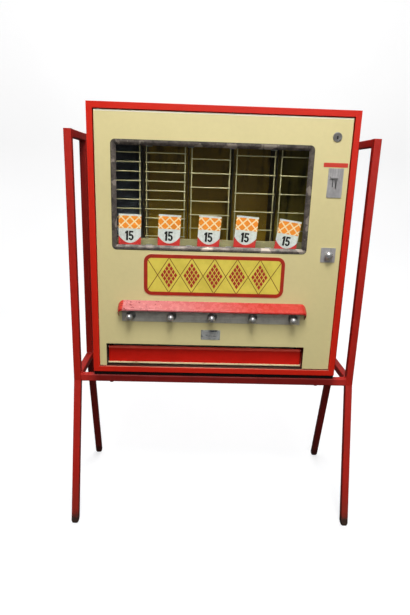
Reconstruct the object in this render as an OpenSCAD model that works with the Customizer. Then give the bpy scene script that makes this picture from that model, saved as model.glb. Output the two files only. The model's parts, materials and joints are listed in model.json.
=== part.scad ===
// Five-column pull-knob vending machine in a sheet-steel cabinet, on a stand of square tube.
// Millimetres, +Z up, the front faces -Y. The origin is on the floor under the middle of the stand.
// The cabinet's own pieces are drawn from its lower front edge: x from the middle, y back from the
// front face of its frame, z up from its underside.

/* [Stand] */
// Gap between the cabinet's sides and the side frames
side_gap = 38; // [20:1:60]
// How far the stand reaches in front of the cabinet's frame
stand_front = 2; // [0:0.5:4]
// How far the stand reaches behind the cabinet
stand_back = 3; // [0:0.5:6]
// Height of the uprights above the floor
stand_h = 1099; // [800:1:1150]
// Height of the top of the shelf bars above the floor
shelf_h = 428; // [300:1:600]
// How far each leg runs forward or back on its way from the shelf to the floor
leg_splay = 101; // [40:1:160]
// Outside of the square tube
tube = 20; // [18:1:30]
// Wall of the square tube
tube_wall = 1.5; // [1:0.1:3]
// Height of the end plugs' feet under the legs
plug_t = 8; // [2:0.5:12]
// Height of the rubber strips between the shelf bars and the cabinet
spacer_h = 10.5; // [4:0.5:20]
// Width of the rubber strips
spacer_w = 12; // [9:0.5:12]
// Distance of the mounting bolts from the cabinet's sides
bolt_in = 50; // [35:1:120]
// Radius of the mounting bolts
bolt_r = 3; // [2:0.5:4]

/* [Cabinet] */
// Width of the cabinet
cab_w = 700; // [630:1:800]
// Height of the cabinet
cab_h = 727; // [660:1:820]
// Depth of the cabinet, frame included
cab_d = 190; // [175:1:230]
// Sheet thickness of the cabinet
sheet = 1.5; // [1:0.1:2]
// Width of the front frame round the door
frame_w = 16; // [12:0.5:20]
// Depth of the jamb behind the front frame
jamb_d = 24; // [23.5:0.1:25.5]
// Width of the lip that stops the door
lip_w = 8; // [5:0.5:9]
// Width of the flange that the back panel is screwed to
back_flange = 12; // [10:0.5:16]
// Thickness of the back panel
back_t = 1.2; // [0.8:0.1:1.5]

/* [Door] */
// Gap between the door and the frame on each side
door_gap = 2; // [1.5:0.1:3]
// How far the door's face lies behind the frame's face
door_recess = 4; // [3:0.1:4.5]
// Thickness of the door's sheet
skin = 1.2; // [0.8:0.1:1.5]
// Depth of the door's folded pan
door_d = 16; // [14:0.5:16.5]
// Distance of the pivot from the door's hinge edge
pivot_in = 10.5; // [8.5:0.5:11]
// Distance of the pivot behind the door's face
pivot_back = 5; // [4.5:0.1:5.5]
// Radius of the pivot pins
pivot_r = 3; // [2:0.1:3]
// Length of the pivot pins
pivot_len = 14; // [10:0.5:18]

/* [Window] */
// Distance of the window trim from the cabinet's hinge side
window_left = 60; // [50:1:80]
// Distance of the window trim from the cabinet's lock side
window_right = 113; // [105:1:140]
// Distance of the window trim from the cabinet's top
window_over = 89; // [70:1:120]
// Height of the window trim's lower edge above the cabinet's underside
window_low = 356; // [350:1:380]
// Visible width of the trim
trim_face = 13; // [11:0.5:16]
// Outer corner radius of the trim
trim_r = 11; // [8:0.5:14]
// How far the trim stands in front of the door's face
trim_proud = 1.5; // [1:0.1:3]
// Thickness of the glass
glass_t = 3; // [2:0.5:4]
// Width of a price card
card_w = 60; // [40:0.5:70]
// Height of a price card
card_h = 86; // [60:0.5:95]
// Thickness of a price card
card_t = 0.5; // [0.3:0.1:1]

/* [Sign] */
// Width of the sign plate
sign_w = 389; // [300:1:420]
// Height of the sign plate
sign_h = 115.5; // [90:0.5:118]
// How far the sign is set off the window's middle
sign_set = 15; // [-20:0.5:30]
// Distance of the sign's middle below the window
sign_under = 68.5; // [66:0.5:72]
// Corner radius of the sign plate
sign_r = 22; // [10:1:40]
// Thickness of the sign plate
sign_t = 1.5; // [1:0.1:3]

/* [Pulls] */
// Distance of the outer pulls from the ends of their strip
pull_in = 23; // [18:0.5:30]
// Height of the pulls above the cabinet's underside
pull_z = 171; // [168:0.5:173]
// Radius of the ball knobs
knob_r = 9.5; // [8:0.1:10]
// Distance of the balls' middles in front of the frame's face
knob_out = 20; // [18:0.5:22]
// Radius of the pull rods
rod_r = 4; // [3:0.1:4.5]
// Travel of a pull
pull_travel = 18; // [10:0.5:18]
// Radius of the holes in the door that the knobs pass through
knob_hole_r = 13.5; // [13:0.1:15]
// How far those holes are set towards the free edge, for the door's swing past the knobs
knob_hole_shift = 2.5; // [2:0.1:3.5]
// How far the strip behind the knobs ends inside the hood
strip_in = 12; // [8:0.5:20]
// Lower edge of the strip above the cabinet's underside
strip_z0 = 153; // [148:1:156]
// Upper edge of the strip above the cabinet's underside
strip_z1 = 205; // [190:1:208]
// Thickness of the strip
strip_t = 1.5; // [1:0.1:2]

/* [Hood] */
// How far the hood is set off the window's middle
hood_set = 13.5; // [5:0.5:20]
// Height of the hood's upper edge on the door
hood_top = 214; // [210:0.5:222]
// Height of the hood's front edge
hood_lip = 192; // [188:0.5:196]
// Height where the hood's ends meet the door
hood_end = 167; // [155:0.5:175]
// How far the hood stands in front of the door's face
hood_d = 32; // [31:0.5:40]
// Radius of the hood's front corners and of the bends at its ends
hood_r = 17; // [10:0.5:20]

/* [Delivery] */
// Distance of the delivery opening from the cabinet's hinge side
slot_left = 37.5; // [37:0.5:60]
// Distance of the delivery opening from the cabinet's lock side
slot_right = 95.5; // [95:0.5:130]
// Top of the delivery opening above the cabinet's underside
slot_top = 84.5; // [80:0.5:90]
// Height of the flap's hinge rod above the cabinet's underside
flap_z = 66; // [60:0.5:72]
// Length of the flap below its hinge rod
flap_l = 43.5; // [38:0.5:45]
// Thickness of the flap's sheet
flap_t = 1.5; // [1:0.1:2]
// Radius of the flap's hinge rod
flap_rod_r = 2.5; // [2:0.1:3]
// Top of the tray's front lip above the cabinet's underside
tray_lip = 23.5; // [22:0.5:30]

/* [Coin gear] */
// Distance of the coin plate's middle from the cabinet's lock side
coin_in = 52; // [51:0.5:54]
// Distance of the coin plate's middle from the cabinet's top
coin_under = 180.5; // [160:0.5:200]
// Width of the coin plate
coin_w = 40; // [30:0.5:46]
// Height of the coin plate
coin_h = 75; // [60:0.5:90]
// Thickness of the coin plate and the return plate
plate_t = 2; // [1.5:0.1:3]
// Width of the coin slot
coin_gap = 3; // [2:0.1:4]
// Height of the coin slot
coin_slot_h = 26; // [20:0.5:32]
// Middle of the coin return above the cabinet's underside
return_z = 355; // [350:0.5:362]
// Side of the square return plate
return_w = 40; // [30:0.5:46]
// Radius of the return button
button_r = 11; // [9:0.5:14]
// Travel of the return button
button_travel = 6; // [3:0.5:6]
// Distance of the door lock from the cabinet's lock side
lock_in = 57; // [56:0.5:60]
// Distance of the door lock from the cabinet's top
lock_under = 65.5; // [55:0.5:90]
// Radius of the lock's front rim
lock_rim_r = 12; // [10:0.5:14]
// Radius of the turning plug
lock_plug_r = 6.5; // [5:0.1:7]

/* [Columns] */
// Distance of the first column from the cabinet's hinge side
col_left = 19.25; // [10:0.25:30]
// Distance of the last column from the cabinet's lock side
col_right = 78.25; // [76:0.25:90]
// Gap between one wire rack and the next
rack_gap = 15; // [12:0.5:25]
// Diameter of the rack wire
wire_d = 3; // [2:0.1:4]
// Smallest distance between the rungs of a rack
rung_pitch = 24.4; // [22:0.1:27]
// Height of the ledge that the racks stand on above the window trim's lower edge
ledge_over = 27; // [14:1:30]
// Distance of the rail over the racks from the cabinet's top
rack_under = 59; // [40:1:90]
// Thickness of the sheet used for dividers, cover and chute
inner_sheet = 1.2; // [0.8:0.1:1.5]
// Distance of the rocker shaft above the pull rods
rocker_arm = 36; // [34:0.5:40]
// Radius of the rocker shaft
shaft_r = 4; // [3:0.1:4.5]
// Room left behind a rocker's drop flap
drop_room = 17.3; // [14:0.1:25]
// Height of a rocker's holding blade above the shaft
blade_h = 41; // [30:1:50]
// Depth of the cash box
cash_d = 123; // [80:1:130]
// Height of the cash box
cash_h = 118.5; // [80:0.5:130]

/* [Hidden] */
$fn = 48;
COUNT = 5;
// Clearances: running fit of shafts, loose holes, butt joints and free play beside moving pieces
run = 0.05;
loose = 0.3;
weld = 0.1;
play = 3.5;
eps = 0.1;

stand_w = cab_w + 2 * (side_gap + tube);
stand_d = cab_d + stand_front + stand_back;
bolt_x = cab_w / 2 - bolt_in;
cab_z = shelf_h + spacer_h;
cab_y = -stand_d / 2 + stand_front;
bolt_set = 4;
bolt_rows = [-stand_d / 2 + tube / 2, stand_d / 2 - tube / 2 - bolt_set];
in_w = cab_w - 2 * sheet;
open_w = cab_w - 2 * frame_w;
open_z0 = frame_w;
open_z1 = cab_h - frame_w;
door_w = open_w - 2 * door_gap;
door_z0 = open_z0 + door_gap;
door_z1 = open_z1 - door_gap;
door_y = door_recess;
skin_y = door_y + skin;
door_back = door_y + door_d;
pivot_x = -door_w / 2 + pivot_in;
pivot_y = door_y + pivot_back;
back_y = cab_d - sheet - back_t;

trim_w = cab_w - window_left - window_right;
trim_h = cab_h - window_over - window_low;
window_x = (window_left - window_right) / 2;
window_z = window_low + trim_h / 2;
trim_y = door_y - trim_proud;
glass_lap = 3.5;
glass_set = 4;
glass_w = trim_w - 2 * (trim_face - glass_lap);
glass_h = trim_h - 2 * (trim_face - glass_lap);
glass_y = door_y + glass_set;
trim_back = glass_y + glass_t;
trim_body = 5;
trim_land = 6;
card_tilts = [1.3, 2.1, 3.1, 4.5, 8];
card_shifts = [[2, -1], [0, 0], [0, 0], [-8, 2], [-2, -5]];
card_in = 47.5;
card_pitch = (trim_w - 2 * card_in) / (COUNT - 1);
card_set = 3;
card_drop = 4;
clip_w = 16;
clip_h = 10;

sign_x = window_x + sign_set;
sign_z = window_low - sign_under;
hood_x = window_x + hood_set;
hood_w = trim_w;
hood_edge = 4;
hood_over = 1;
strip_set = 2.5;
strip_x = hood_x - strip_set;
strip_w = hood_w - 2 * strip_in;
pull_pitch = (strip_w - 2 * pull_in) / (COUNT - 1);

slot_x0 = -cab_w / 2 + slot_left;
slot_x1 = cab_w / 2 - slot_right;
tray_in = 1;
tray_x0 = slot_x0 + tray_in;
tray_x1 = slot_x1 - tray_in;
tray_gap = 1.5;
tray_y = door_back + tray_gap;
tray_d = 70.5;
tray_end = tray_y + tray_d;
flap_set = 7;
flap_y = tray_y + flap_set;
flap_wall = 2;
flap_hub_r = flap_rod_r + flap_wall;
flap_hem = 6;
chute_top = 125;

rail_set = 2;
rail_y = jamb_d + rail_set;
rail_h = 42;
rail_t = 2;
rail_flange = 12;
boss_wall = 2;
boss_l = 16;
boss_r = rod_r + boss_wall;
spring_wire = 2;
spring_r0 = boss_r + 2 * loose;
spring_r1 = spring_r0 + spring_wire;
spring_y0 = rail_y + rail_t;
spring_y1 = spring_y0 + boss_l + pull_travel;
collar_t = 3;
fork_room = 13;
shaft_y = spring_y1 + collar_t + fork_room;
shaft_z = pull_z + rocker_arm;
cross_pin_r = 3;
col_pitch = (cab_w - col_left - col_right) / COUNT;
col_x = (col_left - col_right) / 2;
rack_w = col_pitch - rack_gap;
ledge_z = window_low + ledge_over;
rack_top = cab_h - rack_under;
hub_wall = 3;
hub_r = shaft_r + hub_wall;
hub_in = 4.75;
hub_w = rack_w - 2 * hub_in;
drop_l = back_y - shaft_y - drop_room;
drop_t = 2;
drop_set = 0.5;
blade_in = 8;
arm_w = 4;
arm_gap = 2;
prong_w = 4.5;
prong_reach = 7;
fork_play = 1.5;
fork_mid = 0.7;

cover_set = 8;
cover_y = rail_y + cover_set;
rack_set = 8;
rack_y = cover_y + rack_set;
ledge_d = 15;
divider_y = cover_y + ledge_d;
divider_over = 30;
divider_under = 4;
rail_lip = 20;
partition_x = col_x + COUNT / 2 * col_pitch;
rung_counts = [1, 1, 1.5, 2, 2];
rung_over = 31;
rung_z0 = ledge_z + rung_over;

chute_set = 7.75;
chute_x0 = partition_x + inner_sheet + chute_set;
coin_chute_w = 34;
coin_chute_y = 46.5;
chute_over = 8;
chute_under = 25;
chute_rim = 4;
coin_x = cab_w / 2 - coin_in;
coin_z = cab_h - coin_under;
lock_x = cab_w / 2 - lock_in;
lock_z = cab_h - lock_under;
slot_set = 1.5;
slot_place = coin_x + slot_set;
visor_l = 16;
visor_r = 6;
visor_h = 5;
visor_out = 5;
rib_w = 2;
rib_out = 3;
stem_r = button_r * 0.45;
button_l = 11;
dome_r = button_r * 1.25;
button_spring_l = 19;
lock_wall = 2.5;
lock_barrel_r = lock_plug_r + lock_wall;
lock_rim_t = 2.5;
lock_back = jamb_d;
cam_l = 40;
cam_w = 12;
cam_t = 2.5;
strike_h = 36;
strike_t = 0.7;
screw_r = 2;
screw_head_r = 4;
cash_side = 6;

red = "#b52a1f";
cream = "#d8cc92";
steel = "#a9a9a6";
dark = "#2c2a28";

// Places of the pulls, the columns and the cards
function pull_at(i) = strip_x + (i - (COUNT + 1) / 2) * pull_pitch;
function col_at(i) = col_x + (i - (COUNT + 1) / 2) * col_pitch;
function card_at(i) = window_x - card_set + (i - (COUNT + 1) / 2) * card_pitch;

// A block between two corners, given as ranges
module box(x, y, z) {
  translate([x[0], y[0], z[0]])
    cube([x[1] - x[0], y[1] - y[0], z[1] - z[0]]);
}

// Round bars along the three axes
module bar_x(r, x) {
  translate([x[0], 0, 0])
    rotate([0, 90, 0])
      cylinder(r = r, h = x[1] - x[0]);
}

module bar_y(r, y) {
  translate([0, y[1], 0])
    rotate([90, 0, 0])
      cylinder(r = r, h = y[1] - y[0]);
}

module bar_z(r, z) {
  translate([0, 0, z[0]])
    cylinder(r = r, h = z[1] - z[0]);
}

// A rectangle with round corners, about the origin
module round_rect(w, h, r) {
  square([w - 2 * r, h], center = true);
  square([w, h - 2 * r], center = true);
  for (sx = [-1, 1], sz = [-1, 1])
    translate([sx * (w / 2 - r), sz * (h / 2 - r)])
      circle(r = r);
}

// A plate that stands upright, its outline seen from the front, between two depths
module upright_plate(y) {
  translate([0, y[1], 0])
    rotate([90, 0, 0])
      linear_extrude(height = y[1] - y[0])
        children();
}

// An outline seen from the side (y across, z up), run along x
module along_x(x) {
  translate([x[0], 0, 0])
    rotate([90, 0, 90])
      linear_extrude(height = x[1] - x[0])
        children();
}

module in_cabinet() {
  translate([0, cab_y, cab_z])
    children();
}

// Places of the four mounting bolts, in the stand's frame
module at_bolts() {
  for (sx = [-1, 1], y = bolt_rows)
    translate([sx * bolt_x, y, 0])
      children();
}

// Stand

// One leg seen from the side: a leaning strip, cut level at both ends
module leg_outline(w, z0, z1) {
  run_y = leg_splay / (shelf_h - tube);
  half = w / 2 * sqrt(1 + run_y * run_y);
  lean = function (z) run_y * (shelf_h - tube - z);
  polygon([[-half - lean(z0), z0], [half - lean(z0), z0], [half - lean(z1), z1], [-half - lean(z1), z1]]);
}

// A side frame's left half shows its inner face towards +X
module side_frame() {
  x = [-stand_w / 2, -stand_w / 2 + tube];
  x_in = [x[0] + tube_wall, x[1] - tube_wall];
  y_leg = stand_d / 2 - tube / 2;
  base = shelf_h - tube;
  gap = stand_d / 2 - tube - weld;
  for (s = [-1, 1])
    mirror([0, s > 0 ? 1 : 0, 0]) {
      difference() {
        box(x, [-stand_d / 2, -stand_d / 2 + tube], [base, stand_h]);
        box(x_in, [-stand_d / 2 + tube_wall, -stand_d / 2 + tube - tube_wall],
          [base - eps, stand_h - tube_wall]);
      }
      difference() {
        along_x(x)
          translate([-y_leg, 0])
            leg_outline(tube, plug_t, base - weld);
        along_x(x_in)
          translate([-y_leg, 0])
            leg_outline(tube - 2 * tube_wall, plug_t - eps, base);
      }
    }
  for (top = [shelf_h, stand_h])
    difference() {
      box(x, [-gap, gap], [top - tube, top]);
      box(x_in, [-gap - eps, gap + eps], [top - tube + tube_wall, top - tube_wall]);
    }
}

module left_side_frame() {
  color(red)
    side_frame();
}

module right_side_frame() {
  color(red)
    mirror([1, 0, 0])
      side_frame();
}

module crossbar(y) {
  half = stand_w / 2 - tube;
  color(red)
    difference() {
      box([-half, half], y, [shelf_h - tube, shelf_h]);
      box([-half - eps, half + eps], [y[0] + tube_wall, y[1] - tube_wall],
        [shelf_h - tube + tube_wall, shelf_h - tube_wall]);
      at_bolts()
        bar_z(bolt_r + loose, [shelf_h - tube - eps, shelf_h + eps]);
    }
}

module front_crossbar() {
  crossbar([-stand_d / 2, -stand_d / 2 + tube]);
}

module rear_crossbar() {
  crossbar([stand_d / 2 - tube, stand_d / 2]);
}

module leg_end_plugs() {
  y_leg = stand_d / 2 - tube / 2;
  stem = tube - 2 * tube_wall - 2 * loose;
  inset = tube_wall + loose;
  color(dark)
    for (sx = [0, 1], sy = [0, 1])
      mirror([sx, 0, 0])
        mirror([0, sy, 0]) {
          along_x([-stand_w / 2, -stand_w / 2 + tube])
            translate([-y_leg, 0])
              leg_outline(tube, 0, plug_t);
          along_x([-stand_w / 2 + inset, -stand_w / 2 + tube - inset])
            translate([-y_leg, 0])
              leg_outline(stem, plug_t - eps, plug_t + tube);
        }
}

module shelf_spacers() {
  color(dark)
    difference() {
      for (y = bolt_rows)
        box([-in_w / 2, in_w / 2], [y - spacer_w / 2, y + spacer_w / 2], [shelf_h, cab_z]);
      at_bolts()
        bar_z(bolt_r + loose, [shelf_h - eps, cab_z + eps]);
    }
}

module mounting_bolts() {
  nut_z = cab_z + sheet;
  color(steel)
    at_bolts() {
      bar_z(bolt_r, [shelf_h - tube - eps, nut_z + bolt_r * 2 + 2]);
      bar_z(bolt_r * 1.8, [shelf_h - tube - bolt_r * 1.4, shelf_h - tube]);
      translate([0, 0, nut_z])
        cylinder(r = bolt_r * 1.8, h = bolt_r * 1.6, $fn = 6);
    }
}

// Cabinet

module at_panel_screws() {
  x = in_w / 2 - back_flange / 2;
  for (sx = [-1, 1], f = [0.06, 0.5, 0.94])
    translate([sx * x, 0, cab_h * f])
      children();
  for (z = [sheet + back_flange / 2, cab_h - sheet - back_flange / 2])
    translate([0, 0, z])
      children();
}

module cabinet_shell() {
  inner = [sheet, cab_h - sheet];
  flange = in_w / 2 - back_flange;
  color(red)
    difference() {
      in_cabinet()
        difference() {
          box([-cab_w / 2, cab_w / 2], [sheet, cab_d], [0, cab_h]);
          box([-in_w / 2, in_w / 2], [sheet - eps, cab_d - sheet], inner);
          box([-flange, flange], [cab_d - 2 * sheet, cab_d + eps],
            [inner[0] + back_flange, inner[1] - back_flange]);
          at_panel_screws()
            bar_y(screw_r + loose, [cab_d - 2 * sheet, cab_d + eps]);
        }
      at_bolts()
        bar_z(bolt_r + loose, [cab_z - eps, cab_z + 2 * sheet]);
    }
}

module front_frame() {
  half = open_w / 2;
  lip_y = [jamb_d - sheet, jamb_d];
  color(red)
    in_cabinet() {
      difference() {
        union() {
          box([-cab_w / 2, cab_w / 2], [0, sheet], [0, cab_h]);
          box([-half - sheet, half + sheet], [0, jamb_d], [open_z0 - sheet, open_z1 + sheet]);
        }
        box([-half, half], [-eps, jamb_d + eps], [open_z0, open_z1]);
      }
      box([half - lip_w, half + sheet], lip_y, [open_z0 - sheet, open_z1 + sheet]);
      box([-half * 0.9, half + sheet], lip_y, [open_z1 - lip_w, open_z1 + sheet]);
    }
}

module back_panel() {
  half = in_w / 2 - loose;
  color(red)
    in_cabinet()
      difference() {
        box([-half, half], [back_y, back_y + back_t], [sheet + loose, cab_h - sheet - loose]);
        at_panel_screws()
          bar_y(screw_r + loose, [back_y - eps, cab_d]);
      }
}

module back_panel_screws() {
  color(steel)
    in_cabinet()
      at_panel_screws() {
        bar_y(screw_r, [back_y - screw_r, cab_d + eps]);
        bar_y(screw_head_r, [cab_d, cab_d + screw_head_r / 2]);
      }
}

module mechanism_rail() {
  x = [-in_w / 2, partition_x];
  z = [pull_z - rail_h / 2, pull_z + rail_h / 2];
  color(steel)
    in_cabinet()
      difference() {
        union() {
          box(x, [rail_y, rail_y + rail_t], z);
          box(x, [rail_y, rail_y + rail_flange], [z[0], z[0] + rail_t]);
          box(x, [rail_y, rail_y + rail_flange], [z[1] - rail_t, z[1]]);
          for (i = [1:COUNT])
            translate([pull_at(i), 0, pull_z])
              bar_y(boss_r, [rail_y, spring_y0 + boss_l]);
        }
        for (i = [1:COUNT])
          translate([pull_at(i), 0, pull_z])
            bar_y(rod_r + run, [rail_y - eps, spring_y0 + boss_l + eps]);
      }
}

module column_dividers() {
  color(dark)
    in_cabinet() {
      difference() {
        for (i = [1:COUNT - 1])
          translate([col_at(i) + col_pitch / 2, 0, 0])
            box([-inner_sheet / 2, inner_sheet / 2], [divider_y, back_y],
              [shaft_z - hub_r - divider_under, rack_top + divider_over]);
        translate([0, shaft_y, shaft_z])
          bar_x(shaft_r + run, [-cab_w / 2, cab_w / 2]);
      }
      box([partition_x, partition_x + inner_sheet], [rail_y, back_y], [sheet, rack_top + divider_over]);
    }
}

module rack_top_rail() {
  x = [-in_w / 2, partition_x];
  color(cream)
    in_cabinet() {
      box(x, [cover_y, divider_y], [rack_top, rack_top + inner_sheet]);
      box(x, [divider_y - inner_sheet, divider_y], [rack_top, rack_top + rail_lip]);
    }
}

// A wire rack: two uprights, with rungs across their front
module column_rack(i) {
  step = rung_pitch * rung_counts[i - 1];
  lowest = rung_counts[i - 1] == 1 ? rung_z0 - rung_pitch : rung_z0;
  half = rack_w / 2 - wire_d / 2;
  color(cream)
    in_cabinet()
      translate([col_at(i), 0, 0]) {
        for (sx = [-1, 1])
          translate([sx * half, rack_y, 0])
            bar_z(wire_d / 2, [ledge_z, rack_top]);
        for (z = [lowest:step:rack_top - 2 * wire_d])
          translate([0, rack_y - wire_d - weld / 2, z])
            bar_x(wire_d / 2, [-half - wire_d, half + wire_d]);
      }
}

module mechanism_cover() {
  x = [-in_w / 2, partition_x];
  color(cream)
    in_cabinet() {
      box(x, [cover_y, cover_y + inner_sheet], [shaft_z + hub_r, ledge_z]);
      box(x, [cover_y, divider_y - eps], [ledge_z - inner_sheet, ledge_z]);
    }
}

module rocker_shaft() {
  color(steel)
    in_cabinet()
      translate([0, shaft_y, shaft_z])
        bar_x(shaft_r, [-in_w / 2, partition_x]);
}

module drop_chute() {
  low = [tray_end, sheet + frame_w];
  high = [back_y, chute_top];
  color(steel)
    in_cabinet()
      along_x([tray_x0, tray_x1])
        polygon([low, high, [high[0], high[1] - 2 * inner_sheet], [low[0] + 2 * inner_sheet, low[1]]]);
}

module delivery_tray() {
  floor_z = [frame_w, frame_w + sheet];
  sides = flap_z + 2 * flap_hub_r;
  x = [tray_x0 - sheet, tray_x1 + sheet];
  color(cream)
    in_cabinet()
      difference() {
        union() {
          box(x, [tray_y, tray_end], floor_z);
          box(x, [tray_y, tray_y + sheet], [frame_w, tray_lip]);
          box(x, [tray_end - sheet, tray_end], [sheet, floor_z[1]]);
          box([x[0], tray_x0], [tray_y, tray_end], [frame_w, sides]);
          box([tray_x1, x[1]], [tray_y, tray_end], [frame_w, sides]);
        }
        translate([0, flap_y, flap_z])
          bar_x(flap_rod_r + run, [tray_x0 - 2 * sheet, tray_x1 + 2 * sheet]);
      }
}

module flap_rod() {
  color(steel)
    in_cabinet()
      translate([0, flap_y, flap_z])
        bar_x(flap_rod_r, [tray_x0 - 2 * sheet, tray_x1 + 2 * sheet]);
}

module delivery_flap() {
  x = [slot_x0 + play, slot_x1 - play];
  color(red)
    in_cabinet()
      difference() {
        union() {
          translate([0, flap_y, flap_z])
            bar_x(flap_hub_r, x);
          box(x, [flap_y - flap_hub_r, flap_y - flap_hub_r + flap_t], [flap_z - flap_l, flap_z]);
          box(x, [flap_y - flap_hub_r, flap_y - flap_hub_r + flap_hem],
            [flap_z - flap_l, flap_z - flap_l + flap_t]);
        }
        translate([0, flap_y, flap_z])
          bar_x(flap_rod_r + run, [x[0] - eps, x[1] + eps]);
      }
}

module lock_strike() {
  half = open_w / 2;
  color(steel)
    in_cabinet()
      box([half - lip_w, half + sheet], [jamb_d, jamb_d + strike_t],
        [lock_z - strike_h / 2, lock_z + strike_h / 2]);
}

module door_pivot_pins() {
  color(steel)
    in_cabinet()
      translate([pivot_x, pivot_y, 0]) {
        bar_z(pivot_r, [open_z0, open_z0 + pivot_len]);
        bar_z(pivot_r, [open_z1 - pivot_len, open_z1]);
      }
}

module cash_box() {
  x = [partition_x + inner_sheet + cash_side, in_w / 2 - cash_side];
  y = [rail_y + tray_in, rail_y + tray_in + cash_d];
  z = [sheet, sheet + cash_h];
  color(dark)
    in_cabinet()
      difference() {
        box(x, y, z);
        box([x[0] + inner_sheet, x[1] - inner_sheet], [y[0] + inner_sheet, y[1] - inner_sheet],
          [z[0] + inner_sheet, z[1] + eps]);
      }
}

// Pulls and rockers

module return_springs() {
  color(steel)
    in_cabinet()
      for (i = [1:COUNT])
        translate([pull_at(i), 0, pull_z])
          difference() {
            bar_y(spring_r1, [spring_y0, spring_y1]);
            bar_y(spring_r0, [spring_y0 - eps, spring_y1 + eps]);
          }
}

module pull_knob(i) {
  neck = knob_r * 0.6;
  color("silver")
    in_cabinet()
      translate([pull_at(i), -knob_out, pull_z])
        difference() {
          union() {
            sphere(r = knob_r);
            bar_y(neck, [0, knob_r * 1.3]);
          }
          bar_y(rod_r + run, [knob_r * 0.5, knob_r * 1.4]);
        }
}

module pull_rod(i) {
  color(steel)
    in_cabinet()
      translate([pull_at(i), 0, pull_z]) {
        bar_y(rod_r, [-knob_out + knob_r * 0.5 + loose, shaft_y + 2 * cross_pin_r]);
        bar_y(spring_r1 + loose, [spring_y1, spring_y1 + collar_t]);
        translate([0, shaft_y, 0])
          bar_x(cross_pin_r, [0, rod_r + arm_gap + arm_w + cross_pin_r]);
      }
}

// A rocker: hub on the shaft, drop flap behind, holding blade above, forked arm over the rod's cross pin
module rocker(i) {
  arm_x = pull_at(i) - col_at(i) + rod_r + arm_gap;
  fork_half = cross_pin_r + fork_play;
  reach = rocker_arm + cross_pin_r + prong_reach;
  color(steel)
    in_cabinet()
      translate([col_at(i), shaft_y, shaft_z])
        difference() {
          union() {
            bar_x(hub_r, [-hub_w / 2, hub_w / 2]);
            box([-hub_w / 2, hub_w / 2], [0, drop_l], [hub_r - drop_set - drop_t, hub_r - drop_set]);
            box([-hub_w / 2 + blade_in, hub_w / 2 - blade_in],
              [-hub_r + drop_set, -hub_r + drop_set + drop_t], [0, blade_h]);
            box([arm_x, arm_x + arm_w],
              [fork_mid - fork_half - prong_w, fork_mid + fork_half + prong_w], [-reach, 0]);
          }
          bar_x(shaft_r + run, [-hub_w / 2 - eps, hub_w / 2 + eps]);
          box([arm_x - eps, arm_x + arm_w + eps], [fork_mid - fork_half, fork_mid + fork_half],
            [-reach - eps, -rocker_arm + cross_pin_r + fork_play / 2]);
        }
}

// Door

module window_cut(w, h, y) {
  translate([window_x, 0, window_z])
    box([-w / 2, w / 2], y, [-h / 2, h / 2]);
}

module door_panel() {
  half = door_w / 2;
  y = [door_y, door_back];
  through = [door_y - eps, skin_y + eps];
  cut_w = trim_w - 2 * trim_body + 1;
  cut_h = trim_h - 2 * trim_body + 1;
  color(cream)
    in_cabinet() {
      difference() {
        box([-half, half], y, [door_z0, door_z1]);
        box([-half + skin, half - skin], [skin_y, door_back + eps], [door_z0 + skin, door_z1 - skin]);
        box([slot_x0, slot_x1], [door_y - eps, door_back + eps], [door_z0 - eps, slot_top]);
        window_cut(cut_w, cut_h, through);
        for (i = [1:COUNT])
          translate([pull_at(i) + knob_hole_shift, 0, pull_z])
            bar_y(knob_hole_r, through);
        translate([lock_x, 0, lock_z])
          bar_y(lock_barrel_r + loose, through);
        translate([coin_x, 0, return_z])
          bar_y(stem_r + 3 * loose, through);
        translate([slot_place, 0, coin_z])
          box([-coin_gap, coin_gap], through, [-coin_slot_h / 2, coin_slot_h / 2]);
        translate([pivot_x, pivot_y, 0])
          bar_z(pivot_r + loose, [door_z0 - eps, door_z1 + eps]);
      }
      for (x = [slot_x0 - skin, slot_x1])
        box([x, x + skin], y, [door_z0, slot_top + skin]);
      box([slot_x0 - skin, slot_x1 + skin], y, [slot_top, slot_top + skin]);
    }
}

module pivot_bushings() {
  side = pivot_in * 2 / 3;
  h = pivot_len - door_gap;
  color(steel)
    in_cabinet()
      translate([pivot_x, 0, 0])
        difference() {
          for (z = [door_z0 + skin, door_z1 - skin - h])
            box([-side, side], [skin_y, pivot_y + 2 * pivot_r], [z, z + h]);
          translate([0, pivot_y, 0])
            bar_z(pivot_r + run, [door_z0, door_z1]);
        }
}

// The trim slopes in towards the glass on all four sides
module trim_slope() {
  w = trim_w / 2 - trim_land;
  h = trim_h / 2 - trim_land;
  fall = trim_face - trim_land;
  deep = glass_y - trim_y;
  translate([window_x, trim_y, window_z])
    intersection() {
      translate([0, 0, -trim_h])
        linear_extrude(height = 2 * trim_h)
          polygon([[-w, -eps], [w, -eps], [w, 0], [w - fall, deep], [fall - w, deep], [-w, 0]]);
      along_x([-trim_w, trim_w])
        polygon([[-eps, -h], [0, -h], [deep, fall - h], [deep, h - fall], [0, h], [-eps, h]]);
    }
}

module window_trim() {
  body_w = trim_w - 2 * trim_body;
  body_h = trim_h - 2 * trim_body;
  color(steel)
    in_cabinet()
      difference() {
        translate([window_x, 0, window_z]) {
          upright_plate([trim_y, door_y])
            round_rect(trim_w, trim_h, trim_r);
          upright_plate([door_y - eps, trim_back])
            square([body_w, body_h], center = true);
        }
        window_cut(trim_w - 2 * trim_face, trim_h - 2 * trim_face, [trim_y - eps, trim_back + eps]);
        window_cut(glass_w + 2 * loose, glass_h + 2 * loose, [glass_y, trim_back + eps]);
        trim_slope();
      }
}

module window_glass() {
  color("#9fb3b0", 0.35)
    in_cabinet()
      window_cut(glass_w, glass_h, [glass_y, trim_back]);
}

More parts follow.
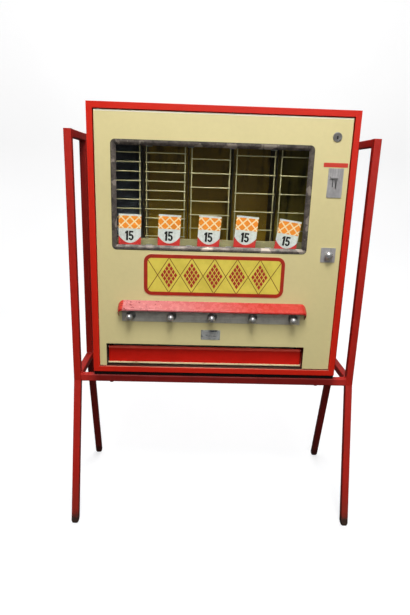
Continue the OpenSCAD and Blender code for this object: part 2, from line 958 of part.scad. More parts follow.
// The clips hold the glass between the cards
module glass_clips() {
  color(steel)
    in_cabinet()
      for (sz = [-1, 1], i = [1:COUNT - 1])
        translate([card_at(i + 0.5), 0, window_z + sz * glass_h / 2])
          box([-clip_w / 2, clip_w / 2], [trim_back, trim_back + sheet], [-clip_h / 2, clip_h / 2]);
}

module price_cards() {
  low = window_z - trim_h / 2 + trim_face - card_drop;
  color("ivory")
    in_cabinet()
      for (i = [1:COUNT])
        translate([card_at(i) + card_shifts[i - 1][0], 0, low + card_h / 2 + card_shifts[i - 1][1]])
          rotate([0, card_tilts[i - 1], 0])
            upright_plate([trim_back + eps, trim_back + eps + card_t])
              square([card_w, card_h], center = true);
}

module sign_plate() {
  color("#d6c63f")
    in_cabinet()
      translate([sign_x, 0, sign_z])
        upright_plate([door_y - sign_t, door_y])
          round_rect(sign_w, sign_h, sign_r);
}

module pull_strip() {
  color(steel)
    in_cabinet()
      difference() {
        translate([strip_x, 0, 0])
          box([-strip_w / 2, strip_w / 2], [door_y - strip_t, door_y], [strip_z0, strip_z1]);
        for (i = [1:COUNT])
          translate([pull_at(i) + knob_hole_shift, 0, pull_z])
            bar_y(knob_hole_r, [door_y - strip_t - eps, door_y + eps]);
      }
}

// The hood's end view, its roof at z = 0: the ends are bent down
module hood_arch(w, r) {
  translate([-w / 2 + r, -hood_top])
    square([w - 2 * r, hood_top]);
  translate([-w / 2, -hood_top])
    square([w, hood_top - r]);
  for (sx = [-1, 1])
    translate([sx * (w / 2 - r), -r])
      circle(r = r);
}

// The hood's outside, made thinner all round by t: a sloped roof with bent ends and round front corners
module hood_form(t, past) {
  front = door_y - hood_d + t;
  w = hood_w - 2 * t;
  r = hood_r - t;
  slope = atan2(hood_top - hood_lip - hood_edge, hood_d);
  intersection() {
    translate([hood_x, door_y, hood_top])
      rotate([slope, 0, 0])
        translate([0, 0, -t])
          upright_plate([-2 * hood_d, 2 * hood_d])
            hood_arch(w + 2 * hood_over, r);
    translate([hood_x, 0, 0])
      linear_extrude(height = hood_top * 2) {
        translate([0, front + r])
          translate([-w / 2, 0])
            square([w, hood_d - t - r + past]);
        translate([-w / 2 + r, front])
          square([w - 2 * r, hood_d - t + past]);
        for (sx = [-1, 1])
          translate([sx * (w / 2 - r), front + r])
            circle(r = r);
      }
    along_x([hood_x - hood_w, hood_x + hood_w])
      polygon([[door_y + past, hood_top + hood_d], [front, hood_top + hood_d],
        [front, hood_lip - 40 * past], [door_y + past, hood_end - 40 * past]]);
  }
}

module knob_hood() {
  color(red)
    in_cabinet()
      difference() {
        hood_form(0, 0);
        hood_form(sheet, eps * 10);
      }
}

module coin_plate() {
  slot_z = [coin_z - coin_slot_h / 2, coin_z + coin_slot_h / 2];
  front = door_y - plate_t;
  color(steel)
    in_cabinet()
      difference() {
        union() {
          translate([coin_x, 0, coin_z])
            upright_plate([front, door_y])
              round_rect(coin_w, coin_h, plate_t);
          box([slot_place - visor_l, slot_place + visor_r], [front - visor_out, front + eps],
            [slot_z[1] - rib_w / 2, slot_z[1] - rib_w / 2 + visor_h]);
          for (x = [slot_place - coin_gap / 2 - rib_w, slot_place + coin_gap / 2])
            box([x, x + rib_w], [front - rib_out, front + eps], [slot_z[0], slot_z[1]]);
        }
        box([slot_place - coin_gap / 2, slot_place + coin_gap / 2], [front - 2 * rib_out, door_y + eps],
          [slot_z[0], slot_z[1] - rib_w / 2]);
        box([slot_place - visor_l / 2 - rib_w / 2, slot_place - visor_l / 2 + rib_w / 2],
          [front - eps, front + plate_t / 2], [slot_z[0] + rib_w, slot_z[1] - rib_w]);
      }
}

module coin_chute() {
  x = [chute_x0, chute_x0 + coin_chute_w];
  z = [return_z - chute_under, coin_z + coin_h / 2 + chute_over];
  inside = [x[0] + sheet, x[1] - sheet];
  color(steel)
    in_cabinet()
      difference() {
        box(x, [skin_y, coin_chute_y], z);
        box(inside, [skin_y - eps, coin_chute_y - sheet], [z[0] + sheet, z[1] - sheet]);
        box([inside[0] + chute_rim, inside[1] - chute_rim],
          [skin_y + 2 * chute_rim, coin_chute_y - 2 * chute_rim], [z[0] - eps, z[0] + 2 * sheet]);
      }
}

module return_plate() {
  color(steel)
    in_cabinet()
      translate([coin_x, 0, return_z])
        difference() {
          upright_plate([door_y - plate_t, door_y])
            round_rect(return_w, return_w, plate_t);
          bar_y(stem_r + run, [door_y - plate_t - eps, door_y + eps]);
        }
}

module return_button() {
  back = door_y - plate_t - button_travel - tray_in;
  color(steel)
    in_cabinet()
      translate([coin_x, 0, return_z]) {
        intersection() {
          bar_y(button_r, [back - button_l, back]);
          translate([0, back - button_l + dome_r, 0])
            sphere(r = dome_r);
        }
        bar_y(stem_r, [back - eps, coin_chute_y - sheet - button_spring_l]);
        bar_y(stem_r * 1.6, [skin_y + loose, skin_y + loose + plate_t]);
      }
}

module return_button_spring() {
  y = [coin_chute_y - sheet - button_spring_l, coin_chute_y - sheet];
  color(steel)
    in_cabinet()
      translate([coin_x, 0, return_z])
        difference() {
          bar_y(stem_r * 0.9, y);
          bar_y(stem_r * 0.5, [y[0] - eps, y[1] + eps]);
        }
}

module lock_body() {
  color(steel)
    in_cabinet()
      translate([lock_x, 0, lock_z])
        difference() {
          union() {
            bar_y(lock_rim_r, [door_y - lock_rim_t, door_y]);
            bar_y(lock_barrel_r, [door_y - eps, lock_back]);
          }
          bar_y(lock_plug_r + run, [door_y - 2 * lock_rim_t, lock_back + eps]);
        }
}

module lock_plug() {
  cam_y = lock_back + strike_t + loose;
  color("silver")
    in_cabinet()
      translate([lock_x, 0, lock_z])
        difference() {
          union() {
            bar_y(lock_plug_r, [door_y - lock_rim_t * 1.2, cam_y]);
            bar_y(lock_plug_r * 1.15, [cam_y, cam_y + cam_t]);
            box([-cam_w / 2, cam_w / 2], [cam_y, cam_y + cam_t], [-cam_l, 0]);
          }
          box([-lock_plug_r / 10, lock_plug_r / 10], [door_y - 2 * lock_rim_t, door_y + lock_plug_r / 2],
            [-lock_plug_r * 0.6, lock_plug_r * 0.6]);
        }
}

left_side_frame();
right_side_frame();
front_crossbar();
rear_crossbar();
leg_end_plugs();
shelf_spacers();
mounting_bolts();
cabinet_shell();
front_frame();
back_panel();
back_panel_screws();
mechanism_rail();
column_dividers();
rack_top_rail();
mechanism_cover();
rocker_shaft();
drop_chute();
delivery_tray();
flap_rod();
lock_strike();
door_pivot_pins();
cash_box();
return_springs();
delivery_flap();
door_panel();
pivot_bushings();
window_trim();
window_glass();
glass_clips();
price_cards();
sign_plate();
pull_strip();
knob_hood();
coin_plate();
coin_chute();
return_plate();
return_button();
return_button_spring();
lock_body();
lock_plug();
for (i = [1:COUNT]) {
  column_rack(i);
  pull_knob(i);
  pull_rod(i);
  rocker(i);
}
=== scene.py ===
"""Looks of a five-column pull-knob vending machine that stands on a frame of square tube.

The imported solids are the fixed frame. Each class below dresses one sub-assembly: it rounds the edges of the
solids it keeps, builds the pieces that the solids only outline, and gives every piece a procedural finish.
All places are metres in the solids' own frame: +Z up, the front towards -Y.
"""

import json
import logging
import math
import random
from dataclasses import dataclass
from enum import Enum
from typing import Callable, Optional, Sequence, Union

import bmesh
import bpy
from mathutils import Matrix, Vector


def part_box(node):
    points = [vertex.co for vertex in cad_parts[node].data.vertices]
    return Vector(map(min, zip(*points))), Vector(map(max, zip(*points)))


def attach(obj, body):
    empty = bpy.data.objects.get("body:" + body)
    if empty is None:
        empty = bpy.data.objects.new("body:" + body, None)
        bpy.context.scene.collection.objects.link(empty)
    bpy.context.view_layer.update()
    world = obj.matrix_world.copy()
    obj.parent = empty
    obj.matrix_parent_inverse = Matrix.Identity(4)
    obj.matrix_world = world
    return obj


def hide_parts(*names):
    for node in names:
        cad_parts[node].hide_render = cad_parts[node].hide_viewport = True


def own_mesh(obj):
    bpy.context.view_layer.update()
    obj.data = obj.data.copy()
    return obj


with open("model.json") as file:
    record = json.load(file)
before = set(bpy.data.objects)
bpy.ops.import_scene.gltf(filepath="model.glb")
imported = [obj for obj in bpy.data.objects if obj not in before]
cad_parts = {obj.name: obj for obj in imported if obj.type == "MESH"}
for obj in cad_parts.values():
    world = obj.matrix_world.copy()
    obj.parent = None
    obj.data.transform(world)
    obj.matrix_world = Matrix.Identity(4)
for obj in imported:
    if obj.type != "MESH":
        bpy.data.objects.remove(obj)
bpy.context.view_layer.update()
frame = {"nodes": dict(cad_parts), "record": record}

LOG = logging.getLogger("vending_machine")
MM = 0.001
COLUMNS = 5
BODY_OF = {n: b for b, nodes in frame["record"]["behaviour"]["bodies"].items() for n in nodes}
SLOT_OF = {p["node"]: p["material_slot"] for p in frame["record"]["subparts"]}
WORN_EDGE = "worn_edge"
SHARP_ANGLE = 0.7
FLAT_ANGLE = math.radians(0.5)
SAME_PLACE = 1e-5
SAME_POINT = 1e-6
FACES_FRONT, FACES_UP, FACES_SIDE = -0.5, 0.6, 0.9
COIL_STEPS, COIL_SIDES = 20, 6

Pair = tuple[float, float]
Triple = tuple[float, float, float]
Colour = Triple
Socket = bpy.types.NodeSocket
Node = bpy.types.Node
Tree = bpy.types.NodeTree
Material = bpy.types.Material
Piece = bpy.types.Object
Mesh = bmesh.types.BMesh
Value = Union[float, Sequence[float], Socket]
Inputs = dict[Union[int, str], Value]

LEFT, RIGHT = (-1.0, 0.0, 0.0), (1.0, 0.0, 0.0)
DOWN, UP = (0.0, 0.0, -1.0), (0.0, 0.0, 1.0)
BACK = (0.0, 1.0, 0.0)


class Facing(Enum):
    """Which way the second finish of a two-sided sheet looks."""

    NONE = 0
    INWARD = 1
    FORWARD = 2


def srgb(red: int, green: int, blue: int) -> Colour:
    """Turns an 8-bit display colour into linear light."""
    shares = (red / 255, green / 255, blue / 255)
    return tuple(c / 12.92 if c <= 0.04045 else ((c + 0.055) / 1.055) ** 2.4 for c in shares)


def middle(node: str) -> Vector:
    """Returns the middle of a solid's box."""
    low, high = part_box(node)
    return (low + high) / 2


def rim(node: str, direction: Triple, inner: float, outer: float) -> tuple[Triple, float, float]:
    """Returns a direction, and the places that lie so far inside a solid's last edge along it."""
    edge = max(Vector(direction).dot(corner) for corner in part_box(node))
    return direction, edge - inner, edge - outer


class Wiring:
    """Adds and links the nodes of one shader tree."""

    def __init__(self, tree: Tree) -> None:
        """Takes the tree of a material, a group or the world."""
        self.tree = tree

    def add(self, kind: str, inputs: Optional[Inputs] = None, **settings: object) -> Node:
        """Adds a node.

        Args:
            kind: The node's type name.
            inputs: What its sockets get, by number or name.
            **settings: Properties to set on it.

        Returns:
            The new node.
        """
        node = self.tree.nodes.new(kind)
        for name, value in settings.items():
            setattr(node, name, value)
        self.fill(node, inputs or {})
        return node

    def fill(self, node: Node, inputs: Inputs) -> None:
        """Gives a node's sockets, by number or name, their links and constants."""
        for key, value in inputs.items():
            self.put(node.inputs[key], value)

    def put(self, socket: Socket, value: Value) -> None:
        """Links a socket to another, or sets its constant.

        Args:
            socket: The input to fill.
            value: A socket to link, a number, a vector or a colour.
        """
        if isinstance(value, Socket):
            self.tree.links.new(value, socket)
        elif isinstance(value, (int, float)):
            socket.default_value = value
        else:
            socket.default_value = (*value, 1.0)[:len(socket.default_value)]

    def math(self, operation: str, *values: Value) -> Socket:
        """Returns the result of a Math node with these inputs."""
        return self.add("ShaderNodeMath", dict(enumerate(values)), operation=operation).outputs[0]

    def plus(self, a: Value, b: Value) -> Socket:
        """Returns the sum of two values."""
        return self.math("ADD", a, b)

    def minus(self, a: Value, b: Value) -> Socket:
        """Returns a less b."""
        return self.math("SUBTRACT", a, b)

    def times(self, a: Value, b: Value) -> Socket:
        """Returns the product of two values."""
        return self.math("MULTIPLY", a, b)

    def remap(self, value: Value, low: Value, high: Value, to_low: float = 0.0,
              to_high: float = 1.0) -> Socket:
        """Maps the range from low to high to another one, with soft ends."""
        inputs = dict(enumerate((value, low, high, to_low, to_high)))
        return self.add("ShaderNodeMapRange", inputs, interpolation_type="SMOOTHSTEP").outputs[0]

    def spread(self, noise: Value, to_low: float = 0.0, to_high: float = 1.0) -> Socket:
        """Maps the usual range of a noise to another one."""
        return self.remap(noise, 0.3, 0.7, to_low, to_high)

    def mix(self, share: Value, a: Value, b: Value) -> Socket:
        """Returns colour a with a share of colour b on top."""
        return self.add("ShaderNodeMix", {0: share, 6: a, 7: b}, data_type="RGBA").outputs[2]

    def tone(self, colour: Value, factor: Value) -> Socket:
        """Returns a colour made lighter or darker by a factor."""
        return self.add("ShaderNodeHueSaturation", {"Value": factor, "Color": colour}).outputs[0]

    def noise(self, place: Value, scale: Value, detail: float = 3.0, rough: float = 0.5) -> Socket:
        """Returns a noise of about 0.5, with this many cells to the metre."""
        inputs = {"Vector": place, "Scale": scale, "Detail": detail, "Roughness": rough}
        return self.add("ShaderNodeTexNoise", inputs).outputs[0]

    def stretch(self, place: Value, factors: Value) -> Socket:
        """Multiplies a vector by another, axis by axis."""
        return self.add("ShaderNodeVectorMath", {0: place, 1: factors}, operation="MULTIPLY").outputs[0]

    def dot(self, place: Value, direction: Value) -> Socket:
        """Measures a vector along a direction."""
        inputs = {0: place, 1: direction}
        return self.add("ShaderNodeVectorMath", inputs, operation="DOT_PRODUCT").outputs["Value"]

    def stripes(self, a: Value, b: Value) -> tuple[Socket, ...]:
        """Measures a place against two crossing sets of diagonal lines.

        Args:
            a: Place across, in repeats.
            b: Place up, in repeats.

        Returns:
            The distance to the nearest line of each set, in repeats.
        """
        turns = [self.math("FRACT", diagonal) for diagonal in (self.plus(a, b), self.minus(a, b))]
        return tuple(self.math("ABSOLUTE", self.minus(turn, 0.5)) for turn in turns)

    def lattice(self, a: Value, b: Value, inner: float, outer: float) -> Socket:
        """Returns a mask that is 1 on crossing diagonal lines and fades from inner to outer."""
        lines = (self.remap(off, inner, outer, 1.0, 0.0) for off in self.stripes(a, b))
        return self.math("MAXIMUM", *lines)

    def place(self) -> Socket:
        """Returns the point on the piece, in the piece's own frame."""
        return self.add("ShaderNodeTexCoord").outputs["Object"]

    def bump(self, height: Value, strength: float, depth: float) -> Socket:
        """Returns the normal of a height, where 1 stands for this depth in metres."""
        inputs = {"Strength": strength, "Distance": depth, "Height": height}
        return self.add("ShaderNodeBump", inputs).outputs[0]

    def group(self, tree: Tree, **inputs: Value) -> bpy.types.bpy_prop_collection:
        """Places a shared effect and returns its outputs."""
        return self.add("ShaderNodeGroup", inputs, node_tree=tree).outputs


class Effects:
    """The shared shader effects, each made once as a node group."""

    surface = {"Color": "Color", "Roughness": "Float", "Height": "Float"}
    mask = {"Mask": "Float"}

    def __init__(self) -> None:
        """Builds every group."""
        self.paint_age = self._paint_age()
        self.zone = self._zone()
        self.grain = self._grain()

    @staticmethod
    def _group(name: str, outputs: dict[str, str], **inputs: str) -> tuple[Wiring, dict, dict]:
        """Makes an empty group with its sockets.

        Args:
            name: The group's name.
            outputs: Socket kind by output name.
            **inputs: The names of the inputs of each socket kind.

        Returns:
            The wiring, the inputs by name and the outputs by name.
        """
        tree = bpy.data.node_groups.new(name, "ShaderNodeTree")
        sockets = [(label, "INPUT", kind) for kind, labels in inputs.items() for label in labels.split()]
        sockets += [(label, "OUTPUT", kind) for label, kind in outputs.items()]
        for label, direction, kind in sockets:
            tree.interface.new_socket(name=label, in_out=direction, socket_type="NodeSocket" + kind)
        wiring = Wiring(tree)
        start, end = wiring.add("NodeGroupInput"), wiring.add("NodeGroupOutput")
        return wiring, {s.name: s for s in start.outputs}, {s.name: s for s in end.inputs}

    def _paint_age(self) -> Tree:
        """Makes enamel that has faded, gathered dirt and chipped.

        Returns:
            The group: colour, roughness and height from paint, undercoat and grime.
        """
        w, i, o = self._group("paint_age", self.surface, Vector="Place", Color="Paint Under Grime",
                              Float="Edge Chipping Dirt Gloss Mottle")
        place = i["Place"]
        fine = w.noise(place, 75.0, 4.0, 0.6)
        cloud = w.plus(w.spread(w.noise(place, 5.0), -0.07, 0.05), w.spread(fine, -0.03, 0.03))
        faded = w.tone(i["Paint"], w.plus(w.times(cloud, i["Mottle"]), 1.0))
        streak = w.noise(w.stretch(place, (34.0, 34.0, 5.0)), 1.0, 4.0, 0.6)
        blot = w.noise(place, 14.0, 5.0, 0.62)
        soil = w.remap(w.plus(streak, w.times(blot, 0.6)), 0.8, 1.12)
        dirt = w.times(soil, i["Dirt"])
        flake = w.noise(place, 150.0, 4.0, 0.62)
        worn = w.plus(flake, w.times(i["Edge"], 0.16))
        limit = w.minus(0.9, w.times(i["Chipping"], 0.2))
        chip = w.remap(worn, limit, w.plus(limit, 0.02))
        w.put(o["Color"], w.mix(chip, w.mix(dirt, faded, i["Grime"]), i["Under"]))
        dull = w.plus(w.times(chip, 0.35), w.times(dirt, 0.25))
        sheen = w.plus(i["Gloss"], w.spread(fine, -0.04, 0.08))
        w.put(o["Roughness"], w.plus(sheen, dull))
        peel = w.times(w.noise(place, 700.0, 1.0), 0.04)
        sag = w.times(w.noise(place, 7.0, 1.0), 1.6)
        w.put(o["Height"], w.minus(w.plus(peel, sag), w.times(chip, 0.5)))
        return w.tree

    def _zone(self) -> Tree:
        """Makes a ragged mask that rises along a direction.

        Returns:
            The group: a mask from 0 at Start to 1 at End.
        """
        w, i, o = self._group("zone", self.mask, Vector="Place Direction", Float="Start End Ragged Grain")
        rough = w.minus(w.noise(i["Place"], i["Grain"], 4.0, 0.6), 0.5)
        along = w.plus(w.dot(i["Place"], i["Direction"]), w.times(rough, i["Ragged"]))
        w.put(o["Mask"], w.remap(along, i["Start"], i["End"]))
        return w.tree

    def _grain(self) -> Tree:
        """Makes the lines of brushed or drawn metal with smudges and painted gleams of reflected light.

        Returns:
            The group: colour, roughness and height.
        """
        w, i, o = self._group("grain", self.surface, Vector="Place Stretch", Color="Metal Tarnish Glint",
                              Float="Polish Age Contrast Glints")
        place = i["Place"]
        line = w.noise(w.stretch(place, i["Stretch"]), 1.0, 4.0, 0.6)
        smudge = w.noise(place, 45.0, 5.0, 0.6)
        aged = w.times(w.remap(smudge, 0.38, 0.68), i["Age"])
        swing = w.times(w.spread(line, -0.14, 0.08), i["Contrast"])
        dulled = w.mix(aged, w.tone(i["Metal"], w.plus(swing, 1.0)), i["Tarnish"])
        # Painted reflection: patches of the Glint colour stand in for reflections of the room.
        gleam = w.remap(w.noise(place, 19.0), 0.57, 0.6)
        w.put(o["Color"], w.mix(w.times(gleam, i["Glints"]), dulled, i["Glint"]))
        rough = w.plus(i["Polish"], w.spread(line, -0.05, 0.08))
        w.put(o["Roughness"], w.plus(rough, w.times(aged, 0.25)))
        w.put(o["Height"], line)
        return w.tree


EFFECTS = Effects()


@dataclass(frozen=True)
class Patch:
    """A ragged area of another colour that rises along a direction."""

    colour: Colour
    direction: Triple
    start: float
    end: float
    ragged: float = 0.02
    grain: float = 60.0
    share: float = 1.0
    dull: float = 0.2
    chips: float = 0.0


@dataclass(frozen=True)
class Finish:
    """A finish, which makes one material."""

    name: str

    def build(self) -> Material:
        """Makes the material.

        Returns:
            The material, whose Principled shader gets this finish's inputs.
        """
        material = bpy.data.materials.new(self.name)
        material.use_nodes = True
        w = Wiring(material.node_tree)
        w.fill(material.node_tree.nodes["Principled BSDF"], self.inputs(w))
        return material

    def inputs(self, w: Wiring) -> Inputs:
        """Returns the shader's inputs, which each kind of finish wires in its own way."""
        raise NotImplementedError


@dataclass(frozen=True)
class Enamel(Finish):
    """Glossy stoving enamel on sheet steel or tube."""

    paint: Colour
    under: Colour = srgb(70, 40, 30)
    grime: Colour = srgb(70, 55, 40)
    chipping: float = 0.2
    dirt: float = 0.15
    gloss: float = 0.3
    coat: float = 0.25
    coat_rough: float = 0.12
    mottle: float = 1.0
    edge_wear: float = 1.0
    specular: float = 0.5
    relief: float = 0.6 * MM
    patches: tuple[Patch, ...] = ()

    def inputs(self, w: Wiring) -> Inputs:
        """Wires the paint with its age and patches.

        Args:
            w: The material's wiring.

        Returns:
            The shader's inputs.
        """
        place = w.place()
        worn = w.add("ShaderNodeAttribute", attribute_name=WORN_EDGE).outputs["Fac"]
        colour: Value = self.paint
        dull: Value = 0.0
        chipping: Value = self.chipping
        for patch in self.patches:
            zone = w.group(EFFECTS.zone, Place=place, Direction=patch.direction, Start=patch.start,
                           End=patch.end, Ragged=patch.ragged, Grain=patch.grain)
            mask = w.times(zone["Mask"], patch.share)
            colour = w.mix(mask, colour, patch.colour)
            dull = w.math("MULTIPLY_ADD", mask, patch.dull, dull)
            chipping = w.math("MULTIPLY_ADD", mask, patch.chips, chipping)
        age = w.group(EFFECTS.paint_age, Place=place, Paint=colour, Under=self.under, Grime=self.grime,
                      Edge=w.times(worn, self.edge_wear), Chipping=chipping, Dirt=self.dirt,
                      Gloss=self.gloss, Mottle=self.mottle)
        return {"Base Color": age["Color"], "Roughness": w.plus(age["Roughness"], dull),
                "Specular IOR Level": self.specular, "Coat Weight": self.coat,
                "Coat Roughness": self.coat_rough, "Normal": w.bump(age["Height"], 0.35, self.relief)}


@dataclass(frozen=True)
class Metal(Finish):
    """Bare or plated metal with drawn lines and tarnish."""

    metal: Colour
    tarnish: Colour = srgb(90, 84, 76)
    stretch: Triple = (30.0, 400.0, 400.0)
    polish: float = 0.3
    age: float = 0.5
    relief: float = 0.06 * MM
    metallic: float = 1.0
    contrast: float = 1.0
    glint: Colour = srgb(230, 228, 222)
    glints: float = 0.0

    def inputs(self, w: Wiring) -> Inputs:
        """Wires the metal with its grain.

        Args:
            w: The material's wiring.

        Returns:
            The shader's inputs.
        """
        grain = w.group(EFFECTS.grain, Place=w.place(), Stretch=self.stretch, Metal=self.metal,
                        Tarnish=self.tarnish, Polish=self.polish, Age=self.age, Contrast=self.contrast,
                        Glint=self.glint, Glints=self.glints)
        return {"Base Color": grain["Color"], "Roughness": grain["Roughness"], "Metallic": self.metallic,
                "Normal": w.bump(grain["Height"], 0.5, self.relief)}


@dataclass(frozen=True)
class Moulded(Finish):
    """Matt plastic, rubber or ink."""

    colour: Colour
    scuff: Colour
    rough: float = 0.55
    scuffing: float = 0.3
    specular: float = 0.2
    relief: float = 0.08 * MM

    def inputs(self, w: Wiring) -> Inputs:
        """Wires the plastic with its scuffs.

        Args:
            w: The material's wiring.

        Returns:
            The shader's inputs.
        """
        place = w.place()
        scuff = w.times(w.remap(w.noise(place, 90.0, 5.0, 0.65), 0.45, 0.75), self.scuffing)
        return {"Base Color": w.mix(scuff, self.colour, self.scuff),
                "Roughness": w.plus(self.rough, w.times(scuff, 0.3)), "Specular IOR Level": self.specular,
                "Normal": w.bump(w.noise(place, 1200.0, 2.0), 0.25, self.relief)}


@dataclass(frozen=True)
class Pane(Finish):
    """Clear window glass with a little dust."""

    tint: Colour = (0.93, 0.95, 0.93)
    shadow_tint: Colour = (0.9, 0.92, 0.9)
    ior: float = 1.28

    def build(self) -> Material:
        """Makes the glass, which lets light through to the inside.

        Returns:
            The material.
        """
        material = super().build()
        nodes = material.node_tree.nodes
        w = Wiring(material.node_tree)
        clear = w.add("ShaderNodeBsdfTransparent", {"Color": self.shadow_tint}).outputs[0]
        shadow = w.add("ShaderNodeLightPath").outputs["Is Shadow Ray"]
        choose = w.add("ShaderNodeMixShader", {0: shadow, 1: nodes["Principled BSDF"].outputs[0], 2: clear})
        w.put(nodes["Material Output"].inputs["Surface"], choose.outputs[0])
        return material

    def inputs(self, w: Wiring) -> Inputs:
        """Wires the clear glass with its film of dust.

        Args:
            w: The material's wiring.

        Returns:
            The shader's inputs.
        """
        film = w.noise(w.stretch(w.place(), (7.0, 7.0, 3.0)), 1.0, 5.0, 0.62)
        return {"Base Color": self.tint, "Transmission Weight": 1.0, "IOR": self.ior,
                "Roughness": w.remap(film, 0.35, 0.8, 0.01, 0.05)}


@dataclass(frozen=True)
class LatticeSign(Finish):
    """Printed sign: pale margin, red border and a yellow field with a diamond lattice."""

    centre: Pair
    size: Pair
    radius: float
    margin: float = 0.6 * MM
    border: float = 10.8 * MM
    diamond: Pair = (62.5 * MM, 98.0 * MM)
    line: float = 1.2 * MM
    emblem: float = 0.38
    pocket: float = 0.19
    emblem_reach: float = 2.45
    yellow: Colour = srgb(236, 216, 92)
    faded_yellow: Colour = srgb(220, 200, 78)
    red: Colour = srgb(178, 46, 28)
    faded_red: Colour = srgb(160, 40, 26)
    line_brown: Colour = srgb(112, 40, 16)
    emblem_red: Colour = srgb(172, 48, 36)
    margin_pale: Colour = srgb(232, 186, 154)
    speck_brown: Colour = srgb(120, 90, 50)

    def inputs(self, w: Wiring) -> Inputs:
        """Wires the print.

        Args:
            w: The material's wiring.

        Returns:
            The shader's inputs.
        """
        place = w.place()
        x = w.minus(w.dot(place, RIGHT), self.centre[0])
        z = w.minus(w.dot(place, UP), self.centre[1])
        u = w.math("DIVIDE", x, self.diamond[0])
        v = w.math("DIVIDE", z, self.diamond[1])
        half = self.line / self.diamond[0]
        lines = w.lattice(u, v, half * 0.6, half * 1.2)
        fade = w.noise(place, 22.0, 4.0, 0.6)
        yellow = w.mix(w.remap(fade, 0.35, 0.7), self.yellow, self.faded_yellow)
        lined = w.mix(lines, yellow, self.line_brown)
        inner = w.mix(self._emblems(w, u, v), lined, self.emblem_red)
        red = w.mix(w.remap(fade, 0.4, 0.7), self.red, self.faded_red)
        inside = self._depth(w, x, z)
        bordered = w.mix(w.remap(inside, self.border - 0.5 * MM, self.border + 0.3 * MM), red, inner)
        past_margin = w.remap(inside, self.margin - 0.4 * MM, self.margin + 0.4 * MM)
        printed = w.mix(past_margin, self.margin_pale, bordered)
        cells = w.add("ShaderNodeTexVoronoi", {"Vector": place, "Scale": 180.0}).outputs["Distance"]
        where = w.remap(w.noise(place, 20.0), 0.5, 0.62)
        specks = w.times(w.remap(cells, 0.06, 0.16, 0.35, 0.0), where)
        raised = w.plus(w.times(lines, 0.5), w.noise(place, 600.0, 2.0))
        return {"Base Color": w.mix(specks, printed, self.speck_brown),
                "Roughness": w.spread(fade, 0.28, 0.4), "Coat Weight": 0.2,
                "Normal": w.bump(raised, 0.3, 0.1 * MM)}

    def _depth(self, w: Wiring, x: Value, z: Value) -> Socket:
        """Measures how far a point is inside the sign's rounded edge.

        Args:
            w: The material's wiring.
            x: Place across the sign.
            z: Place up the sign.

        Returns:
            The distance from the edge.
        """
        reach = [w.minus(w.math("ABSOLUTE", place), size / 2 - self.radius)
                 for place, size in zip((x, z), self.size)]
        corner = [w.math("MAXIMUM", r, 0.0) for r in reach]
        outside = w.math("SQRT", w.plus(*(w.times(c, c) for c in corner)))
        deep = w.math("MINIMUM", w.math("MAXIMUM", *reach), 0.0)
        return w.minus(self.radius, w.plus(outside, deep))

    def _emblems(self, w: Wiring, u: Value, v: Value) -> Socket:
        """Draws a waffle of small pockets in the middle of each whole diamond.

        Args:
            w: The material's wiring.
            u: Place across the sign, in diamonds.
            v: Place up the sign, in diamonds.

        Returns:
            A mask that is 1 on the waffles.
        """
        across = w.minus(u, w.math("ROUND", u))
        reach = w.plus(w.math("ABSOLUTE", across), w.math("ABSOLUTE", v))
        whole = w.remap(w.math("ABSOLUTE", u), self.emblem_reach, self.emblem_reach + 0.01, 1.0, 0.0)
        waffle = w.times(w.remap(reach, self.emblem - 0.01, self.emblem, 1.0, 0.0), whole)
        column, row = (w.math("DIVIDE", place, self.pocket) for place in (across, v))
        for off in w.stripes(w.plus(column, 0.5), row):
            waffle = w.times(waffle, w.remap(off, 0.07, 0.13))
        return waffle


@dataclass(frozen=True)
class CardPrint(Finish):
    """Printed price card: orange head with a waffle grid, white middle and a red foot."""

    size: Pair
    repeats: Pair = (2.5, 3.6)
    orange: Colour = srgb(230, 132, 24)
    grid_pale: Colour = srgb(224, 204, 160)
    white: Colour = srgb(205, 207, 204)
    stained_white: Colour = srgb(190, 190, 184)
    foot_red: Colour = srgb(196, 40, 34)

    def inputs(self, w: Wiring) -> Inputs:
        """Wires the print, read in the card's own frame from -0.5 to 0.5.

        Args:
            w: The material's wiring.

        Returns:
            The shader's inputs.
        """
        place = w.place()
        x = w.dot(place, (1.0 / self.size[0], 0.0, 0.0))
        z = w.dot(place, (0.0, 0.0, 1.0 / self.size[1]))
        grid = w.lattice(w.times(x, self.repeats[0]), w.times(z, self.repeats[1]), 0.07, 0.12)
        orange = w.mix(grid, self.orange, self.grid_pale)
        stain = w.remap(w.noise(place, 120.0, 4.0), 0.35, 0.7)
        white = w.mix(stain, self.white, self.stained_white)
        headed = w.mix(w.remap(z, 0.05, 0.06), white, orange)
        curve = w.plus(z, w.times(w.times(x, x), -0.9))
        footed = w.mix(w.remap(curve, -0.405, -0.395, 1.0, 0.0), headed, self.foot_red)
        edged = w.mix(w.remap(z, 0.44, 0.45), footed, white)
        behind = w.remap(w.dot(place, BACK), 0.05 * MM, 0.1 * MM)
        return {"Base Color": w.mix(behind, edged, white),
                "Roughness": w.spread(w.noise(place, 300.0, 2.0), 0.45, 0.6),
                "Normal": w.bump(w.noise(place, 900.0, 2.0), 0.2, 0.05 * MM)}


@dataclass(frozen=True)
class PaleFloor(Finish):
    """The studio's floor, which glows so that it stays pale."""

    glow: float = 0.66
    dark: Colour = (0.36, 0.36, 0.36)
    light: Colour = (0.38, 0.38, 0.38)

    def inputs(self, w: Wiring) -> Inputs:
        """Wires the floor with its glow.

        Args:
            w: The material's wiring.

        Returns:
            The shader's inputs.
        """
        tone = w.mix(w.spread(w.noise(w.place(), 1.5, 2.0)), self.dark, self.light)
        return {"Base Color": tone, "Roughness": 0.8, "Emission Color": (1.0, 1.0, 1.0),
                "Emission Strength": self.glow}


@dataclass(frozen=True)
class Rounding:
    """One pass of edge rounding: how wide, and which edges."""

    width: float
    segments: int = 2
    longer_than: float = 0.0
    outer_only: bool = False
    below: float = math.inf


